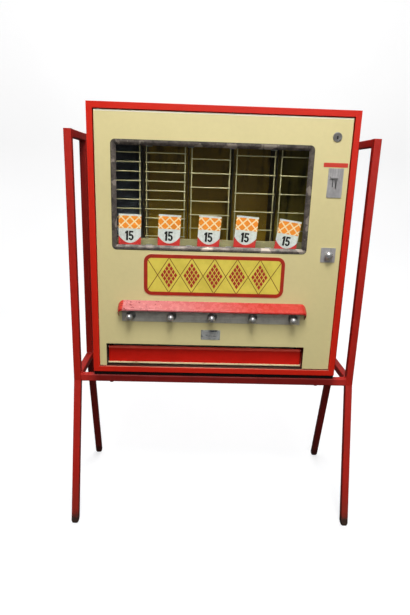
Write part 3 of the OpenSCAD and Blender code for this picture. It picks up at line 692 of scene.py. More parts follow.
Edges = tuple[Rounding, ...]
SHEET_EDGES = (Rounding(0.35 * MM, 1, longer_than=4 * MM),)


class Forms:
    """Makes meshes and puts finished pieces into the scene."""

    @staticmethod
    def finish(piece: Piece, body: str, slot: str, *nodes: str) -> Piece:
        """Lets a piece ride on its body and stand for its nodes.

        Args:
            piece: The piece.
            body: The body that it moves with.
            slot: The record's material slot; not used.
            *nodes: The solids that it stands for.

        Returns:
            The piece.
        """
        if nodes:
            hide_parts(*nodes)
        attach(piece, body)
        LOG.info("%s rides on %s", piece.name, body)
        return piece

    @staticmethod
    def piece(name: str, bm: Mesh, *materials: Material, smooth: bool = True) -> Piece:
        """Turns a mesh into an object.

        Args:
            name: The piece's name.
            bm: Its mesh, which is freed.
            *materials: Its material slots.
            smooth: Shades it smooth with weighted normals.

        Returns:
            The object.
        """
        mesh = bpy.data.meshes.new(name)
        bm.normal_update()
        bm.to_mesh(mesh)
        bm.free()
        for material in materials:
            mesh.materials.append(material)
        piece = bpy.data.objects.new(name, mesh)
        bpy.context.scene.collection.objects.link(piece)
        if smooth:
            for polygon in mesh.polygons:
                polygon.use_smooth = True
            weigh = piece.modifiers.new("even_shading", "WEIGHTED_NORMAL")
            weigh.weight = 100
            weigh.keep_sharp = True
        return piece

    @classmethod
    def fitted(cls, name: str, bm: Mesh, material: Material, body: str, slot: str, *nodes: str) -> Piece:
        """Makes a piece of one finish that rides on a body and stands for its nodes."""
        return cls.finish(cls.piece(name, bm, material), body, slot, *nodes)

    @staticmethod
    def _edges(bm: Mesh, rounding: Rounding) -> list[bmesh.types.BMEdge]:
        """Finds the edges that one pass rounds.

        Args:
            bm: The mesh.
            rounding: The pass.

        Returns:
            The sharp edges that it takes.
        """
        points = [v.co for v in bm.verts]
        low = Vector(min(p[a] for p in points) for a in range(3))
        high = Vector(max(p[a] for p in points) for a in range(3))
        found = []
        for edge in bm.edges:
            if len(edge.link_faces) != 2 or edge.calc_face_angle() < SHARP_ANGLE:
                continue
            at = (edge.verts[0].co + edge.verts[1].co) / 2
            on_box = sum(min(abs(at[a] - low[a]), abs(at[a] - high[a])) < SAME_PLACE for a in range(3))
            outer = on_box >= 2 or not rounding.outer_only
            convex = edge.is_convex or not rounding.longer_than
            if outer and convex and edge.calc_length() > rounding.longer_than and at.z <= rounding.below:
                found.append(edge)
        return found

    @classmethod
    def softened(cls, node: str, rounds: Edges, *materials: Material,
                 facing: Facing = Facing.NONE) -> Piece:
        """Copies a solid's mesh and rounds its edges.

        Args:
            node: The solid.
            rounds: The rounding passes.
            *materials: Its finish, the finish of its second side and others.
            facing: Where the second side looks.

        Returns:
            The rounded piece, which stands for the solid.
        """
        bm = bmesh.new()
        bm.from_mesh(frame["nodes"][node].data)
        for layer in list(bm.loops.layers.uv.values()):
            bm.loops.layers.uv.remove(layer)
        bmesh.ops.remove_doubles(bm, verts=bm.verts, dist=SAME_POINT)
        bmesh.ops.dissolve_limit(bm, angle_limit=FLAT_ANGLE, verts=bm.verts, edges=bm.edges)
        bmesh.ops.connect_verts_concave(bm, faces=bm.faces)
        worn = bm.loops.layers.float.new(WORN_EDGE)
        for rounding in rounds:
            edges = cls._edges(bm, rounding)
            if not edges:
                continue
            made = bmesh.ops.bevel(bm, geom=edges, offset=rounding.width, offset_type="OFFSET", profile=0.5,
                                   segments=rounding.segments, affect="EDGES", clamp_overlap=True)
            for face in made["faces"]:
                for loop in face.loops:
                    loop[worn] = 1.0
        cls._second_side(bm, facing)
        piece = cls.piece(node + "_form", bm, *materials)
        return cls.finish(piece, BODY_OF[node], SLOT_OF[node], node)

    @staticmethod
    def _second_side(bm: Mesh, facing: Facing) -> None:
        """Gives the faces of a second side the second finish.

        Args:
            bm: The mesh.
            facing: Where that side looks.
        """
        if facing is Facing.NONE:
            return
        bm.normal_update()
        centre = sum((v.co for v in bm.verts), Vector()) / len(bm.verts)
        for face in bm.faces:
            if facing is Facing.FORWARD:
                second = face.normal.y < FACES_FRONT
            else:
                second = (centre - face.calc_center_median()).dot(face.normal) > 0
            face.material_index = 1 if second else 0

    @staticmethod
    def recolour(piece: Piece, slot: int, chosen: Callable[[bpy.types.MeshPolygon], bool]) -> None:
        """Gives some faces of a piece another of its finishes.

        Args:
            piece: The piece.
            slot: The number of the finish.
            chosen: Says which faces take it.
        """
        for polygon in piece.data.polygons:
            if chosen(polygon):
                polygon.material_index = slot

    @staticmethod
    def rounded_outline(width: float, height: float, radius: float, steps: int) -> list[Pair]:
        """Walks round a rectangle with round corners.

        Args:
            width: Across.
            height: Up.
            radius: Of the corners.
            steps: Steps round each corner.

        Returns:
            The points, about the origin.
        """
        points = []
        for corner, (sx, sz) in enumerate(((1, 1), (-1, 1), (-1, -1), (1, -1))):
            for step in range(steps + 1):
                angle = math.pi / 2 * (corner + step / steps)
                points.append((sx * (width / 2 - radius) + radius * math.cos(angle),
                               sz * (height / 2 - radius) + radius * math.sin(angle)))
        return points

    @staticmethod
    def _skin(bm: Mesh, rings: Sequence[Sequence[bmesh.types.BMVert]], steps: int) -> None:
        """Joins rings of points into a closed form.

        Args:
            bm: The mesh.
            rings: The rings in order, where a ring of one point is a tip.
            steps: Points on a full ring.
        """
        for a, b in zip(rings, rings[1:]):
            for k in range(steps):
                n = (k + 1) % steps
                corners = [a[k % len(a)], a[n % len(a)], b[n % len(b)], b[k % len(b)]]
                bm.faces.new(list(dict.fromkeys(corners)))
        for ring in (rings[0][::-1], rings[-1]):
            if len(ring) > 1:
                bm.faces.new(ring)

    @classmethod
    def lathe(cls, profile: Sequence[Pair], centre: Vector, steps: int = 40) -> Mesh:
        """Turns a profile about an axis that runs front to back.

        Args:
            profile: Pairs of radius and depth, from front to back.
            centre: Where depth 0 of the axis lies.
            steps: Points round the axis.

        Returns:
            The turned mesh, closed at both ends.
        """
        bm = bmesh.new()
        turns = [2 * math.pi * k / steps for k in range(steps)]
        rings = [[bm.verts.new(centre + Vector((radius * math.cos(a), depth, radius * math.sin(a))))
                  for a in (turns if radius else turns[:1])] for radius, depth in profile]
        cls._skin(bm, rings, steps)
        bmesh.ops.recalc_face_normals(bm, faces=bm.faces)
        return bm

    @classmethod
    def sweep(cls, bm: Mesh, path: Sequence[Vector], radii: Sequence[float], sides: int = 8) -> None:
        """Adds a round bar along a path to a mesh.

        Args:
            bm: The mesh.
            path: The bar's middle line.
            radii: Its radius at each point.
            sides: Points round the bar.
        """
        rings = []
        normal: Optional[Vector] = None
        for k, point in enumerate(path):
            ahead = (path[min(k + 1, len(path) - 1)] - path[max(k - 1, 0)]).normalized()
            guess = normal if normal is not None else ahead.orthogonal()
            normal = (guess - ahead * guess.dot(ahead)).normalized()
            across = ahead.cross(normal)
            rings.append([
                bm.verts.new(point + radii[k] * (math.cos(a) * normal + math.sin(a) * across))
                for a in (2 * math.pi * s / sides for s in range(sides))
            ])
        cls._skin(bm, rings, sides)

    @classmethod
    def coil(cls, axis: Vector, radius: float, wire: float, start: float, end: float, turns: int) -> Mesh:
        """Winds a compression spring that runs front to back.

        Args:
            axis: A point on the spring's axis.
            radius: Radius of the wire's middle line.
            wire: Radius of the wire.
            start: Depth of its front end.
            end: Depth of its back end.
            turns: Number of turns.

        Returns:
            The spring's mesh.
        """
        bm = bmesh.new()
        steps = turns * COIL_STEPS
        path = []
        for k in range(steps + 1):
            t = k / steps
            angle = 2 * math.pi * turns * t
            depth = start + wire + (end - start - 2 * wire) * t
            path.append(Vector((axis.x + radius * math.cos(angle), depth,
                                axis.z + radius * math.sin(angle))))
        cls.sweep(bm, path, [wire] * len(path), COIL_SIDES)
        return bm


@dataclass(frozen=True)
class SmallPlate:
    """An upright plate with round corners and a rounded front edge, set off from what it sits by."""

    size: Pair
    offset: Pair = (0.0, 0.0)
    corner: float = 1.5 * MM
    edge: float = 0.25 * MM
    corner_steps: int = 4

    def mesh(self, x: float, z: float, front: float, back: float) -> Mesh:
        """Makes the plate.

        Args:
            x: Place across that it is set off from.
            z: Height that it is set off from.
            front: Depth of its front face.
            back: Depth of its back face.

        Returns:
            The plate's mesh.
        """
        bm = bmesh.new()
        x, z = x + self.offset[0], z + self.offset[1]
        outline = Forms.rounded_outline(*self.size, self.corner, self.corner_steps)
        face = bm.faces.new([bm.verts.new((x + u, back, z + v)) for u, v in outline])
        made = bmesh.ops.extrude_face_region(bm, geom=[face])
        verts = [g for g in made["geom"] if isinstance(g, bmesh.types.BMVert)]
        bmesh.ops.translate(bm, verts=verts, vec=(0, front - back, 0))
        bmesh.ops.recalc_face_normals(bm, faces=bm.faces)
        edges = [e for e in bm.edges if all(abs(v.co.y - front) < SAME_POINT for v in e.verts)]
        bmesh.ops.bevel(bm, geom=edges, offset=self.edge, segments=2, profile=0.5, affect="EDGES",
                        clamp_overlap=True)
        return bm


class Finishes:
    """All the finishes of the machine, made once."""

    tube_red = srgb(184, 34, 22)
    frame_red = srgb(208, 38, 22)
    frame_grime = srgb(150, 26, 16)
    tray_shade = srgb(40, 24, 14)

    def __init__(self) -> None:
        """Builds every material."""
        self._stand()
        self._cabinet()
        self._door()
        self._delivery()
        self._inner()
        self._metals()
        self._moulded()

    def _stand(self) -> None:
        """Makes the enamels of the stand."""
        # Painted shade: the third patch darkens the rear legs as shade; the first two are wear at the leg
        # tips.
        foot_wear_and_rear_shade = (
            Patch(srgb(110, 44, 28), DOWN, -0.16, -0.02, 0.1, 30.0, 0.55),
            Patch(srgb(56, 38, 28), DOWN, -0.04, -0.018, 0.03, 70.0),
            Patch(srgb(80, 14, 9), (0.0, 2.0, -1.0), -0.26, -0.17, 0.02, 60.0, 0.65),
        )
        self.stand = Enamel("stand_enamel", self.tube_red, chipping=0.55, dirt=0.22, gloss=0.36,
                            under=srgb(84, 36, 26), grime=srgb(96, 42, 26), patches=foot_wear_and_rear_shade).build()
        # Painted shade: the crossbars are darker red in the middle as the cabinet's shadow; their ends keep
        # the stand's red.
        bar_ends = tuple(Patch(self.tube_red, side, 0.335, 0.365, 0.03) for side in (RIGHT, LEFT))
        self.crossbar = Enamel("crossbar_shaded_enamel", srgb(126, 17, 9), chipping=0.2, dirt=0.35, gloss=0.5,
                               coat=0.0, under=srgb(60, 22, 16), grime=srgb(60, 14, 9),
                               patches=bar_ends).build()

    def _cabinet(self) -> None:
        """Makes the enamels of the cabinet, its front frame and its inside."""
        self.cabinet = Enamel("cabinet_enamel", self.frame_red, grime=self.frame_grime, chipping=0.02,
                              dirt=0.02, gloss=0.36, coat=0.08, mottle=0.6).build()
        self.frame = Enamel("frame_enamel", self.frame_red, grime=self.frame_grime, chipping=0.02,
                            dirt=0.03, gloss=0.36, coat=0.05, mottle=0.6, specular=0.2).build()
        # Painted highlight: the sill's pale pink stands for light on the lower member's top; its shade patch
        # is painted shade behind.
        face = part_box("front_frame")[0].y
        shade = Patch(srgb(36, 10, 7), BACK, face + 3 * MM, face + 5 * MM, 0.002)
        self.sill = Enamel("frame_sill_highlight_enamel", srgb(244, 128, 108), grime=self.frame_grime, chipping=0.1,
                           gloss=0.3, patches=(shade,)).build()
        # Painted light: the bluish left patch is a painted reflection, the right patch lightens shade in the
        # right columns.
        sides = (Patch(srgb(106, 110, 120), LEFT, 0.2, 0.24), Patch(srgb(150, 130, 44), RIGHT, 0.15, 0.19))
        self.inside = Enamel("inside_paint", srgb(158, 122, 16), grime=srgb(26, 23, 8), chipping=0.0,
                             dirt=0.8, gloss=0.5, coat=0.0, patches=sides).build()

    def _door(self) -> None:
        """Makes the enamels of the door and the hood."""
        lit_edge = Patch(srgb(255, 248, 222), *rim("door_panel", UP, 4.6 * MM, 3.6 * MM), 0.0005, dull=0.0)
        self.door = Enamel("door_enamel", srgb(224, 210, 152), under=srgb(150, 130, 92),
                           grime=srgb(200, 182, 124), chipping=0.0, dirt=0.0, gloss=0.36, coat=0.08,
                           mottle=0.4, patches=(lit_edge,)).build()
        self.door_back = Enamel("door_back_paint", srgb(188, 178, 132), chipping=0.1, dirt=0.4,
                                gloss=0.45).build()
        # Painted shade: the dark slot paint stands for the shade on the sides of the delivery slot.
        self.slot = Enamel("slot_shade_paint", srgb(46, 36, 22), chipping=0.1, dirt=0.5, gloss=0.5,
                           coat=0.0).build()
        # Left part paler pink: partly faded paint, partly painted reflection of the ceiling light. End caps
        # deeper red: painted shade.
        bleached_and_lit = Patch(srgb(212, 138, 140), LEFT, -0.14, 0.26, 0.12, 20.0, 0.75, 0.0, 1.3)
        ends = (Patch(srgb(204, 34, 28), *rim("knob_hood", side, 16 * MM, 13 * MM), 0.003)
                for side in (LEFT, RIGHT))
        self.hood = Enamel("hood_enamel", srgb(206, 56, 48), under=srgb(148, 28, 28),
                           grime=srgb(150, 26, 26), chipping=0.6, dirt=0.1, gloss=0.24, coat=0.5,
                           edge_wear=0.3, patches=(bleached_and_lit, *ends)).build()

    def _delivery(self) -> None:
        """Makes the enamels of the flap and the tray."""
        lit_edge = Patch(srgb(250, 84, 64), *rim("delivery_flap", UP, 8 * MM, 6 * MM), 0.001)
        self.flap = Enamel("flap_enamel", srgb(210, 26, 10), grime=srgb(120, 14, 8), chipping=0.1,
                           dirt=0.12, gloss=0.34, coat=0.1, patches=(lit_edge,)).build()
        # Painted shade: the lip is dark below its top, the left cheek dark; the right cheek is painted the
        # flap's red, unshaded.
        below = Patch(self.tray_shade, DOWN, -0.4582, -0.457, 0.0015)
        lit_and_shaded_cheeks = (Patch(colour, *rim("delivery_tray", side, 2.6 * MM, 2 * MM), 0.001)
                  for colour, side in ((srgb(150, 18, 8), RIGHT), (self.tray_shade, LEFT)))
        self.tray = Enamel("tray_enamel", srgb(246, 228, 176), under=srgb(90, 60, 36),
                           grime=srgb(120, 92, 56), chipping=0.75, dirt=0.6, gloss=0.4,
                           patches=(below, *lit_and_shaded_cheeks)).build()

    def _inner(self) -> None:
        """Makes the paints of the racks, the dividers and the label."""
        self.ledge = Enamel("ledge_paint", srgb(164, 154, 112), chipping=0.15, dirt=0.3, gloss=0.4).build()
        self.wire = Enamel("rack_lacquer", srgb(172, 162, 118), chipping=0.3, dirt=0.5, gloss=0.35).build()
        self.divider = Enamel("divider_paint", srgb(44, 36, 18), grime=srgb(16, 14, 10), chipping=0.1,
                              dirt=0.6, gloss=0.5, coat=0.0).build()
        self.label = Enamel("label_print", srgb(210, 58, 40), under=srgb(230, 170, 140), chipping=0.1,
                            dirt=0.1, gloss=0.4, coat=0.0).build()

    def _metals(self) -> None:
        """Makes the bare and plated metals."""
        self.zinc = Metal("zinc_plate", srgb(190, 190, 186), tarnish=srgb(156, 154, 148), polish=0.38,
                          age=0.4, metallic=0.4).build()
        self.chrome = Metal("knob_chrome", srgb(222, 222, 220), polish=0.26, age=0.3, relief=0.02 * MM,
                            metallic=0.7).build()
        self.lock = Metal("lock_steel", srgb(190, 188, 184), polish=0.26, age=0.4, metallic=0.7).build()
        # The trim's glints are painted reflections.
        self.trim = Metal("trim_alloy", srgb(118, 108, 99), tarnish=srgb(52, 48, 47), polish=0.42, age=0.75,
                          stretch=(240.0, 60.0, 240.0), relief=0.03 * MM, metallic=0.45, contrast=2.0,
                          glint=srgb(214, 198, 180), glints=0.42).build()
        self.strip = Metal("strip_steel", srgb(218, 215, 202), tarnish=srgb(160, 156, 144), polish=0.42,
                           age=0.4, stretch=(8.0, 500.0, 500.0), metallic=0.3).build()
        self.coin = Metal("coin_plate_steel", srgb(206, 203, 202), tarnish=srgb(160, 156, 154), polish=0.36,
                          age=0.5, stretch=(500.0, 500.0, 20.0), metallic=0.5, contrast=1.4).build()
        self.data = Metal("data_plate_alloy", srgb(196, 198, 194), tarnish=srgb(90, 94, 96), polish=0.4,
                          age=1.0, stretch=(80.0, 80.0, 80.0), metallic=0.4).build()

    def _moulded(self) -> None:
        """Makes the plastic, the rubber, the ink and the glass."""
        self.plug = Moulded("leg_plug_plastic", srgb(52, 38, 30), srgb(110, 92, 76)).build()
        self.rubber = Moulded("spacer_rubber", srgb(11, 7, 6), srgb(34, 22, 18), rough=0.85).build()
        self.ink = Moulded("card_ink", srgb(28, 26, 26), srgb(60, 56, 54), rough=0.5, scuffing=0.15).build()
        self.glass = Pane("window_pane").build()


@dataclass
class TubeStand:
    """The red stand: two side frames, two crossbars, end plugs, spacers and bolts."""

    finishes: Finishes
    tube_edges: Edges = (Rounding(2.2 * MM, 3, longer_than=0.03), Rounding(0.5 * MM, 1))
    foot_edges: Edges = (Rounding(6.0 * MM, 5, below=6.0 * MM), Rounding(0.5 * MM, 1, longer_than=15 * MM))
    spacer_edges: Edges = (Rounding(1.2 * MM, longer_than=0.1),)
    bolt_edges: Edges = (Rounding(0.4 * MM, 1),)
    bead_radius: float = 2.4 * MM
    bead_inset: float = 0.12
    bead_steps: int = 22
    bead_wave: float = 1.3
    bead_ripple: Triple = (0.8, 0.25, 0.08)
    bead_tip: float = 0.35
    seed: int = 11

    def build(self) -> None:
        """Dresses the solids and adds the weld beads."""
        f = self.finishes
        for node in ("left_side_frame", "right_side_frame"):
            Forms.softened(node, self.tube_edges, f.stand)
        for node in ("front_crossbar", "rear_crossbar"):
            Forms.softened(node, self.tube_edges, f.crossbar)
        Forms.softened("leg_end_plugs", self.foot_edges, f.plug)
        Forms.softened("shelf_spacers", self.spacer_edges, f.rubber)
        # The bolts take the crossbars' enamel, with its painted shade.
        Forms.softened("mounting_bolts", self.bolt_edges, f.crossbar)
        self._welds()

    def _welds(self) -> None:
        """Lays a bead along each corner where two tubes of the stand meet."""
        dice = random.Random(self.seed)
        bm = bmesh.new()
        low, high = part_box("left_side_frame")
        bar_low, bar_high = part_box("front_crossbar")
        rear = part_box("rear_crossbar")[1].y
        tube = high.x - low.x
        for side in (-1, 1):
            x_out, x_in = side * abs(low.x), side * (abs(low.x) - tube)
            for y in (bar_low.y + tube, rear - tube):
                for z in (high.z - tube, bar_low.z, bar_high.z):
                    self._bead(bm, Vector((x_out, y, z)), Vector((x_in, y, z)), dice, tube)
            for y, y_in in ((bar_low.y, bar_low.y + tube), (rear, rear - tube)):
                for z in (bar_low.z, bar_high.z):
                    self._bead(bm, Vector((x_in, y, z)), Vector((x_in, y_in, z)), dice, tube)
        bmesh.ops.recalc_face_normals(bm, faces=bm.faces)
        Forms.fitted("stand_weld_beads", bm, self.finishes.stand, "cabinet", "stand_red")

    def _bead(self, bm: Mesh, start: Vector, end: Vector, dice: random.Random, tube: float) -> None:
        """Adds one bead with the ripples of hand welding.

        Args:
            bm: The mesh.
            start: Where the corner starts.
            end: Where the corner ends.
            dice: Source of its unevenness.
            tube: Width of the tube, of which the bead stops a share short of both ends.
        """
        points = range(self.bead_steps + 1)
        inset = (end - start).normalized() * tube * self.bead_inset
        first, last = start + inset, end - inset
        path = [first.lerp(last, k / self.bead_steps) for k in points]
        base, wave, chance = self.bead_ripple
        ripple = [base + wave * abs(math.sin(k * self.bead_wave)) + chance * dice.random() for k in points]
        radii = [self.bead_radius * share for share in ripple]
        radii[0] = radii[-1] = self.bead_radius * self.bead_tip
        Forms.sweep(bm, path, radii)


@dataclass
class Cabinet:
    """The red sheet-steel cabinet, its back panel and what hangs in it."""

    finishes: Finishes
    fold_edges: Edges = (Rounding(2.4 * MM, 3, longer_than=0.05, outer_only=True),)
    frame_edges: Edges = (Rounding(1.2 * MM, 3, longer_than=0.2),)
    delivery_edges: Edges = (Rounding(0.5 * MM, longer_than=0.01),)
    sill_reach: float = 40.0 * MM

    def build(self) -> None:
        """Dresses the cabinet's solids."""
        f = self.finishes
        Forms.softened("cabinet_shell", self.fold_edges, f.cabinet, f.inside, facing=Facing.INWARD)
        surround = Forms.softened("front_frame", self.frame_edges, f.frame, f.sill)
        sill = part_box("front_frame")[0].z + self.sill_reach
        # Upward faces of the lower member take the sill finish with its painted highlight and shade.
        Forms.recolour(surround, 1, lambda p: p.normal.z > FACES_UP and p.center.z < sill)
        Forms.softened("back_panel", SHEET_EDGES, f.cabinet, f.inside, facing=Facing.FORWARD)
        hidden = (
            (f.zinc, ("back_panel_screws", "mechanism_rail", "rocker_shaft", "drop_chute", "flap_rod",
                      "lock_strike", "door_pivot_pins")),
            (f.divider, ("column_dividers", "cash_box")),
            (f.ledge, ("mechanism_cover", "rack_top_rail")),
        )
        for finish, nodes in hidden:
            for node in nodes:
                Forms.softened(node, SHEET_EDGES, finish)
        for column in range(1, COLUMNS + 1):
            Forms.softened(f"column_rack_{column}", (), f.wire)
        for node, finish in (("delivery_tray", f.tray), ("delivery_flap", f.flap)):
            Forms.softened(node, self.delivery_edges, finish)


@dataclass
class PullGear:
    """The five pulls with their ball knobs, springs and rockers."""

    finishes: Finishes
    ball_steps: int = 18
    neck_share: float = 0.6
    neck_step: float = 0.8 * MM
    spring_turns: int = 9
    wire_radius: float = 0.9 * MM

    def build(self) -> None:
        """Dresses the moving gear of every column."""
        for column in range(1, COLUMNS + 1):
            self._knob(column)
            for node in (f"pull_rod_{column}", f"rocker_{column}"):
                Forms.softened(node, SHEET_EDGES, self.finishes.zinc)
            self._spring(column)

    def _knob(self, column: int) -> None:
        """Turns a polished ball knob with a stepped neck.

        Args:
            column: The column's number.
        """
        node = f"pull_knob_{column}"
        low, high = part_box(node)
        radius = (high.x - low.x) / 2
        centre = Vector((middle(node).x, low.y + radius, middle(node).z))
        neck = radius * self.neck_share
        turn = math.pi - math.asin(self.neck_share)
        profile = [(radius * math.sin(a), -radius * math.cos(a))
                   for a in (turn * k / self.ball_steps for k in range(self.ball_steps + 1))]
        back = high.y - centre.y
        profile += [(neck, back - self.neck_step), (neck - self.neck_step, back)]
        Forms.fitted(node + "_form", Forms.lathe(profile, centre), self.finishes.chrome, f"pull_{column}",
                     "knob_chrome", node)

    def _spring(self, column: int) -> None:
        """Winds a return spring round its rod.

        Args:
            column: The column's number.
        """
        low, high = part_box("return_springs")
        radius = (high.z - low.z) / 2 - self.wire_radius
        axis = Vector((middle(f"pull_knob_{column}").x, 0, (low.z + high.z) / 2))
        bm = Forms.coil(axis, radius, self.wire_radius, low.y, high.y, self.spring_turns)
        piece = Forms.piece(f"return_spring_{column}", bm, self.finishes.zinc)
        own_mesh(piece)
        Forms.finish(piece, "cabinet", "zinc_steel", "return_springs")


@dataclass
class Door:
    """The cream door with its window, sign, hood, coin gear and lock."""

    finishes: Finishes
    pan_edges: Edges = (Rounding(1.0 * MM, longer_than=0.05, outer_only=True),
                        Rounding(0.4 * MM, longer_than=0.02))
    strip_edges: Edges = (Rounding(0.4 * MM, longer_than=0.02),)
    trim_edges: Edges = (Rounding(0.6 * MM),)
    plate_edges: Edges = (Rounding(0.5 * MM),)
    button_edges: Edges = (Rounding(0.5 * MM, longer_than=0.5 * MM),)
    lock_edges: Edges = (Rounding(1.2 * MM, 4),)
    plug_edges: Edges = (Rounding(0.3 * MM, 1),)
    card: SmallPlate = SmallPlate((60.0 * MM, 86.0 * MM), (0.0, 0.0), 1.2 * MM, 0.08 * MM, 3)
    card_tilts: tuple[float, ...] = (1.3, 2.1, 3.1, 4.5, 8.0)
    card_shifts: tuple[Pair, ...] = ((2.0, -1.0), (0.0, 0.0), (0.0, 0.0), (-8.0, 2.0), (-2.0, -5.0))
    card_steps: float = 108.0 * MM
    card_set: float = 3.0 * MM
    digit_height: float = 26.0 * MM
    digit_place: Pair = (-1.0 * MM, -14.5 * MM)
    digit_middle: Pair = (0.43, 0.5)
    ink_thickness: float = 0.06 * MM
    sign_round: float = 22.0 * MM
    trim_round: float = 11.0 * MM
    seal_out: float = 0.1 * MM
    seal_radius: float = 1.0 * MM
    seal_proud: float = 0.2 * MM
    seal_steps: int = 10
    slot_reach: float = 2.0 * MM
    keyway: SmallPlate = SmallPlate((3.6 * MM, 8.4 * MM), (0.0, -1.0 * MM), 1.2 * MM, 0.04 * MM)
    keyway_depth: float = 0.5 * MM
    label: SmallPlate = SmallPlate((64.0 * MM, 11.0 * MM), (-2.0 * MM, 8.0 * MM))
    groove: SmallPlate = SmallPlate((2.4 * MM, 21.6 * MM), (-6.5 * MM, 0.0), 0.5 * MM, 0.05 * MM, 3)
    groove_proud: float = 1.0 * MM
    groove_shade: float = 0.15 * MM
    data: SmallPlate = SmallPlate((55.0 * MM, 29.0 * MM), (-0.5 * MM, -36.5 * MM))
    data_fields: tuple[SmallPlate, ...] = tuple(
        SmallPlate((width * MM, height * MM), (x * MM, z * MM), 0.6 * MM, 0.1 * MM, 3)
        for x, z, width, height in ((-13.0, 5.0, 17.0, 8.0), (9.0, 6.5, 20.0, 4.0), (9.0, 0.0, 20.0, 4.0),
                                    (-2.0, -7.0, 40.0, 4.5)))
    rivet_inset: float = 4.0 * MM
    rivet_dome: tuple[Pair, ...] = ((0.0, -0.9 * MM), (0.8 * MM, -0.8 * MM), (1.4 * MM, -0.4 * MM),
                                    (1.6 * MM, 0.0))
    rivet_steps: int = 16
    plate_thickness: float = 0.8 * MM
    field_thickness: float = 0.25 * MM
    button_wire: float = 0.6 * MM
    button_turns: int = 7

    def build(self) -> None:
        """Dresses the door's solids and adds its small fittings."""
        f = self.finishes
        panel = Forms.softened("door_panel", self.pan_edges, f.door_back, f.door, f.slot,
                               facing=Facing.FORWARD)
        low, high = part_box("delivery_tray")
        # The delivery slot's side faces take the dark slot paint as painted shade.
        Forms.recolour(panel, 2, lambda p: abs(p.normal.x) > FACES_SIDE and p.center.z < high.z
                       and low.x - self.slot_reach < p.center.x < high.x + self.slot_reach)
        Forms.softened("window_trim", self.trim_edges, f.trim)
        panes = frame["nodes"]["window_glass"].data.materials
        panes.clear()
        panes.append(f.glass)
        for node in ("glass_clips", "pivot_bushings", "coin_chute"):
            Forms.softened(node, SHEET_EDGES, f.zinc)
        for node, edges, finish in (
                ("pull_strip", self.strip_edges, f.strip), ("knob_hood", self.trim_edges, f.hood),
                ("coin_plate", self.plate_edges, f.coin), ("return_plate", self.plate_edges, f.coin),
                ("lock_body", self.lock_edges, f.lock), ("return_button", self.button_edges, f.chrome),
                ("lock_plug", self.plug_edges, f.lock)):
            Forms.softened(node, edges, finish)
        self._sign()
        self._seal()
        self._cards()
        self._coin_marks()
        self._data_plate()
        self._keyway()
        self._button_spring()

    def _sign(self) -> None:
        """Prints the sign plate."""
        low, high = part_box("sign_plate")
        centre = middle("sign_plate")
        size = (high.x - low.x, high.z - low.z)
        ink = LatticeSign("sign_print", (centre.x, centre.z), size, self.sign_round)
        Forms.softened("sign_plate", self.plate_edges, ink.build())

    def _seal(self) -> None:
        """Lays the dark rubber seal round the window trim."""
        low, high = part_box("window_trim")
        centre = middle("window_trim")
        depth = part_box("door_panel")[0].y - self.seal_proud
        wide, tall = (high.x - low.x + 2 * self.seal_out, high.z - low.z + 2 * self.seal_out)
        outline = Forms.rounded_outline(wide, tall, self.trim_round + self.seal_out, self.seal_steps)
        path = [Vector((centre.x + x, depth, centre.z + z)) for x, z in outline + outline[:1]]
        bm = bmesh.new()
        Forms.sweep(bm, path, [self.seal_radius] * len(path))
        Forms.fitted("window_seal", bm, self.finishes.rubber, "door", "black_rubber")

    def _keyway(self) -> None:
        """Sinks a dark plate into the face of the lock plug as painted shade in its keyway."""
        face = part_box("lock_plug")[0].y
        lock = middle("lock_body")
        bm = self.keyway.mesh(lock.x, lock.z, face - self.ink_thickness, face + self.keyway_depth)
        Forms.fitted("lock_keyway_shade", bm, self.finishes.ink, "lock_plug", SLOT_OF["lock_plug"])

    def _cards(self) -> None:
        """Hangs the five price cards, of which the last is lowest, behind the glass, each with a number."""
        low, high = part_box("price_cards")
        stock = CardPrint("card_print", self.card.size).build()
        centre = middle("window_glass").x - self.card_set
        turn = math.radians(self.card_tilts[-1])
        width, height = self.card.size
        lowest = low.z + (width * math.sin(turn) + height * math.cos(turn)) / 2
        level = lowest - self.card_shifts[-1][1] * MM
        for column, (tilt, (across, up)) in enumerate(zip(self.card_tilts, self.card_shifts)):
            x = centre + (column - COLUMNS // 2) * self.card_steps + across * MM
            place = Matrix.Translation((x, low.y, level + up * MM))
            place = place @ Matrix.Rotation(math.radians(tilt), 4, "Y")
            bm = self.card.mesh(0.0, 0.0, 0.0, high.y - low.y)
            card = Forms.piece(f"price_card_{column + 1}", bm, stock)
            card.matrix_world = place
            Forms.finish(card, "door", "card", "price_cards")
            number = Forms.piece(f"price_number_{column + 1}", self._number(), self.finishes.ink,
                                 smooth=False)
            number.matrix_world = place
            Forms.finish(number, "door", "card")

    @staticmethod
    def _digits() -> tuple[list[Pair], list[Pair]]:
        """Draws a bold, narrow 1 and 5.

        Returns:
            The two outlines, one unit high and side by side.
        """
        one = [(0.08, 0.0), (0.3, 0.0), (0.3, 1.0), (0.14, 1.0), (-0.02, 0.86), (-0.02, 0.66), (0.08, 0.72)]
        bowl = [math.radians(100 - 265 * k / 18) for k in range(19)]
        five = [(0.03, 1.0), (0.47, 1.0), (0.47, 0.82), (0.19, 0.82), (0.185, 0.645)]
        five += [(0.24 + 0.27 * math.cos(a), 0.33 + 0.33 * math.sin(a)) for a in bowl]
        five += [(0.24 + 0.07 * math.cos(a), 0.33 + 0.14 * math.sin(a)) for a in reversed(bowl)]
        five += [(0.17, 0.45), (0.0, 0.47)]
        return one, [(x + 0.36, z) for x, z in five]

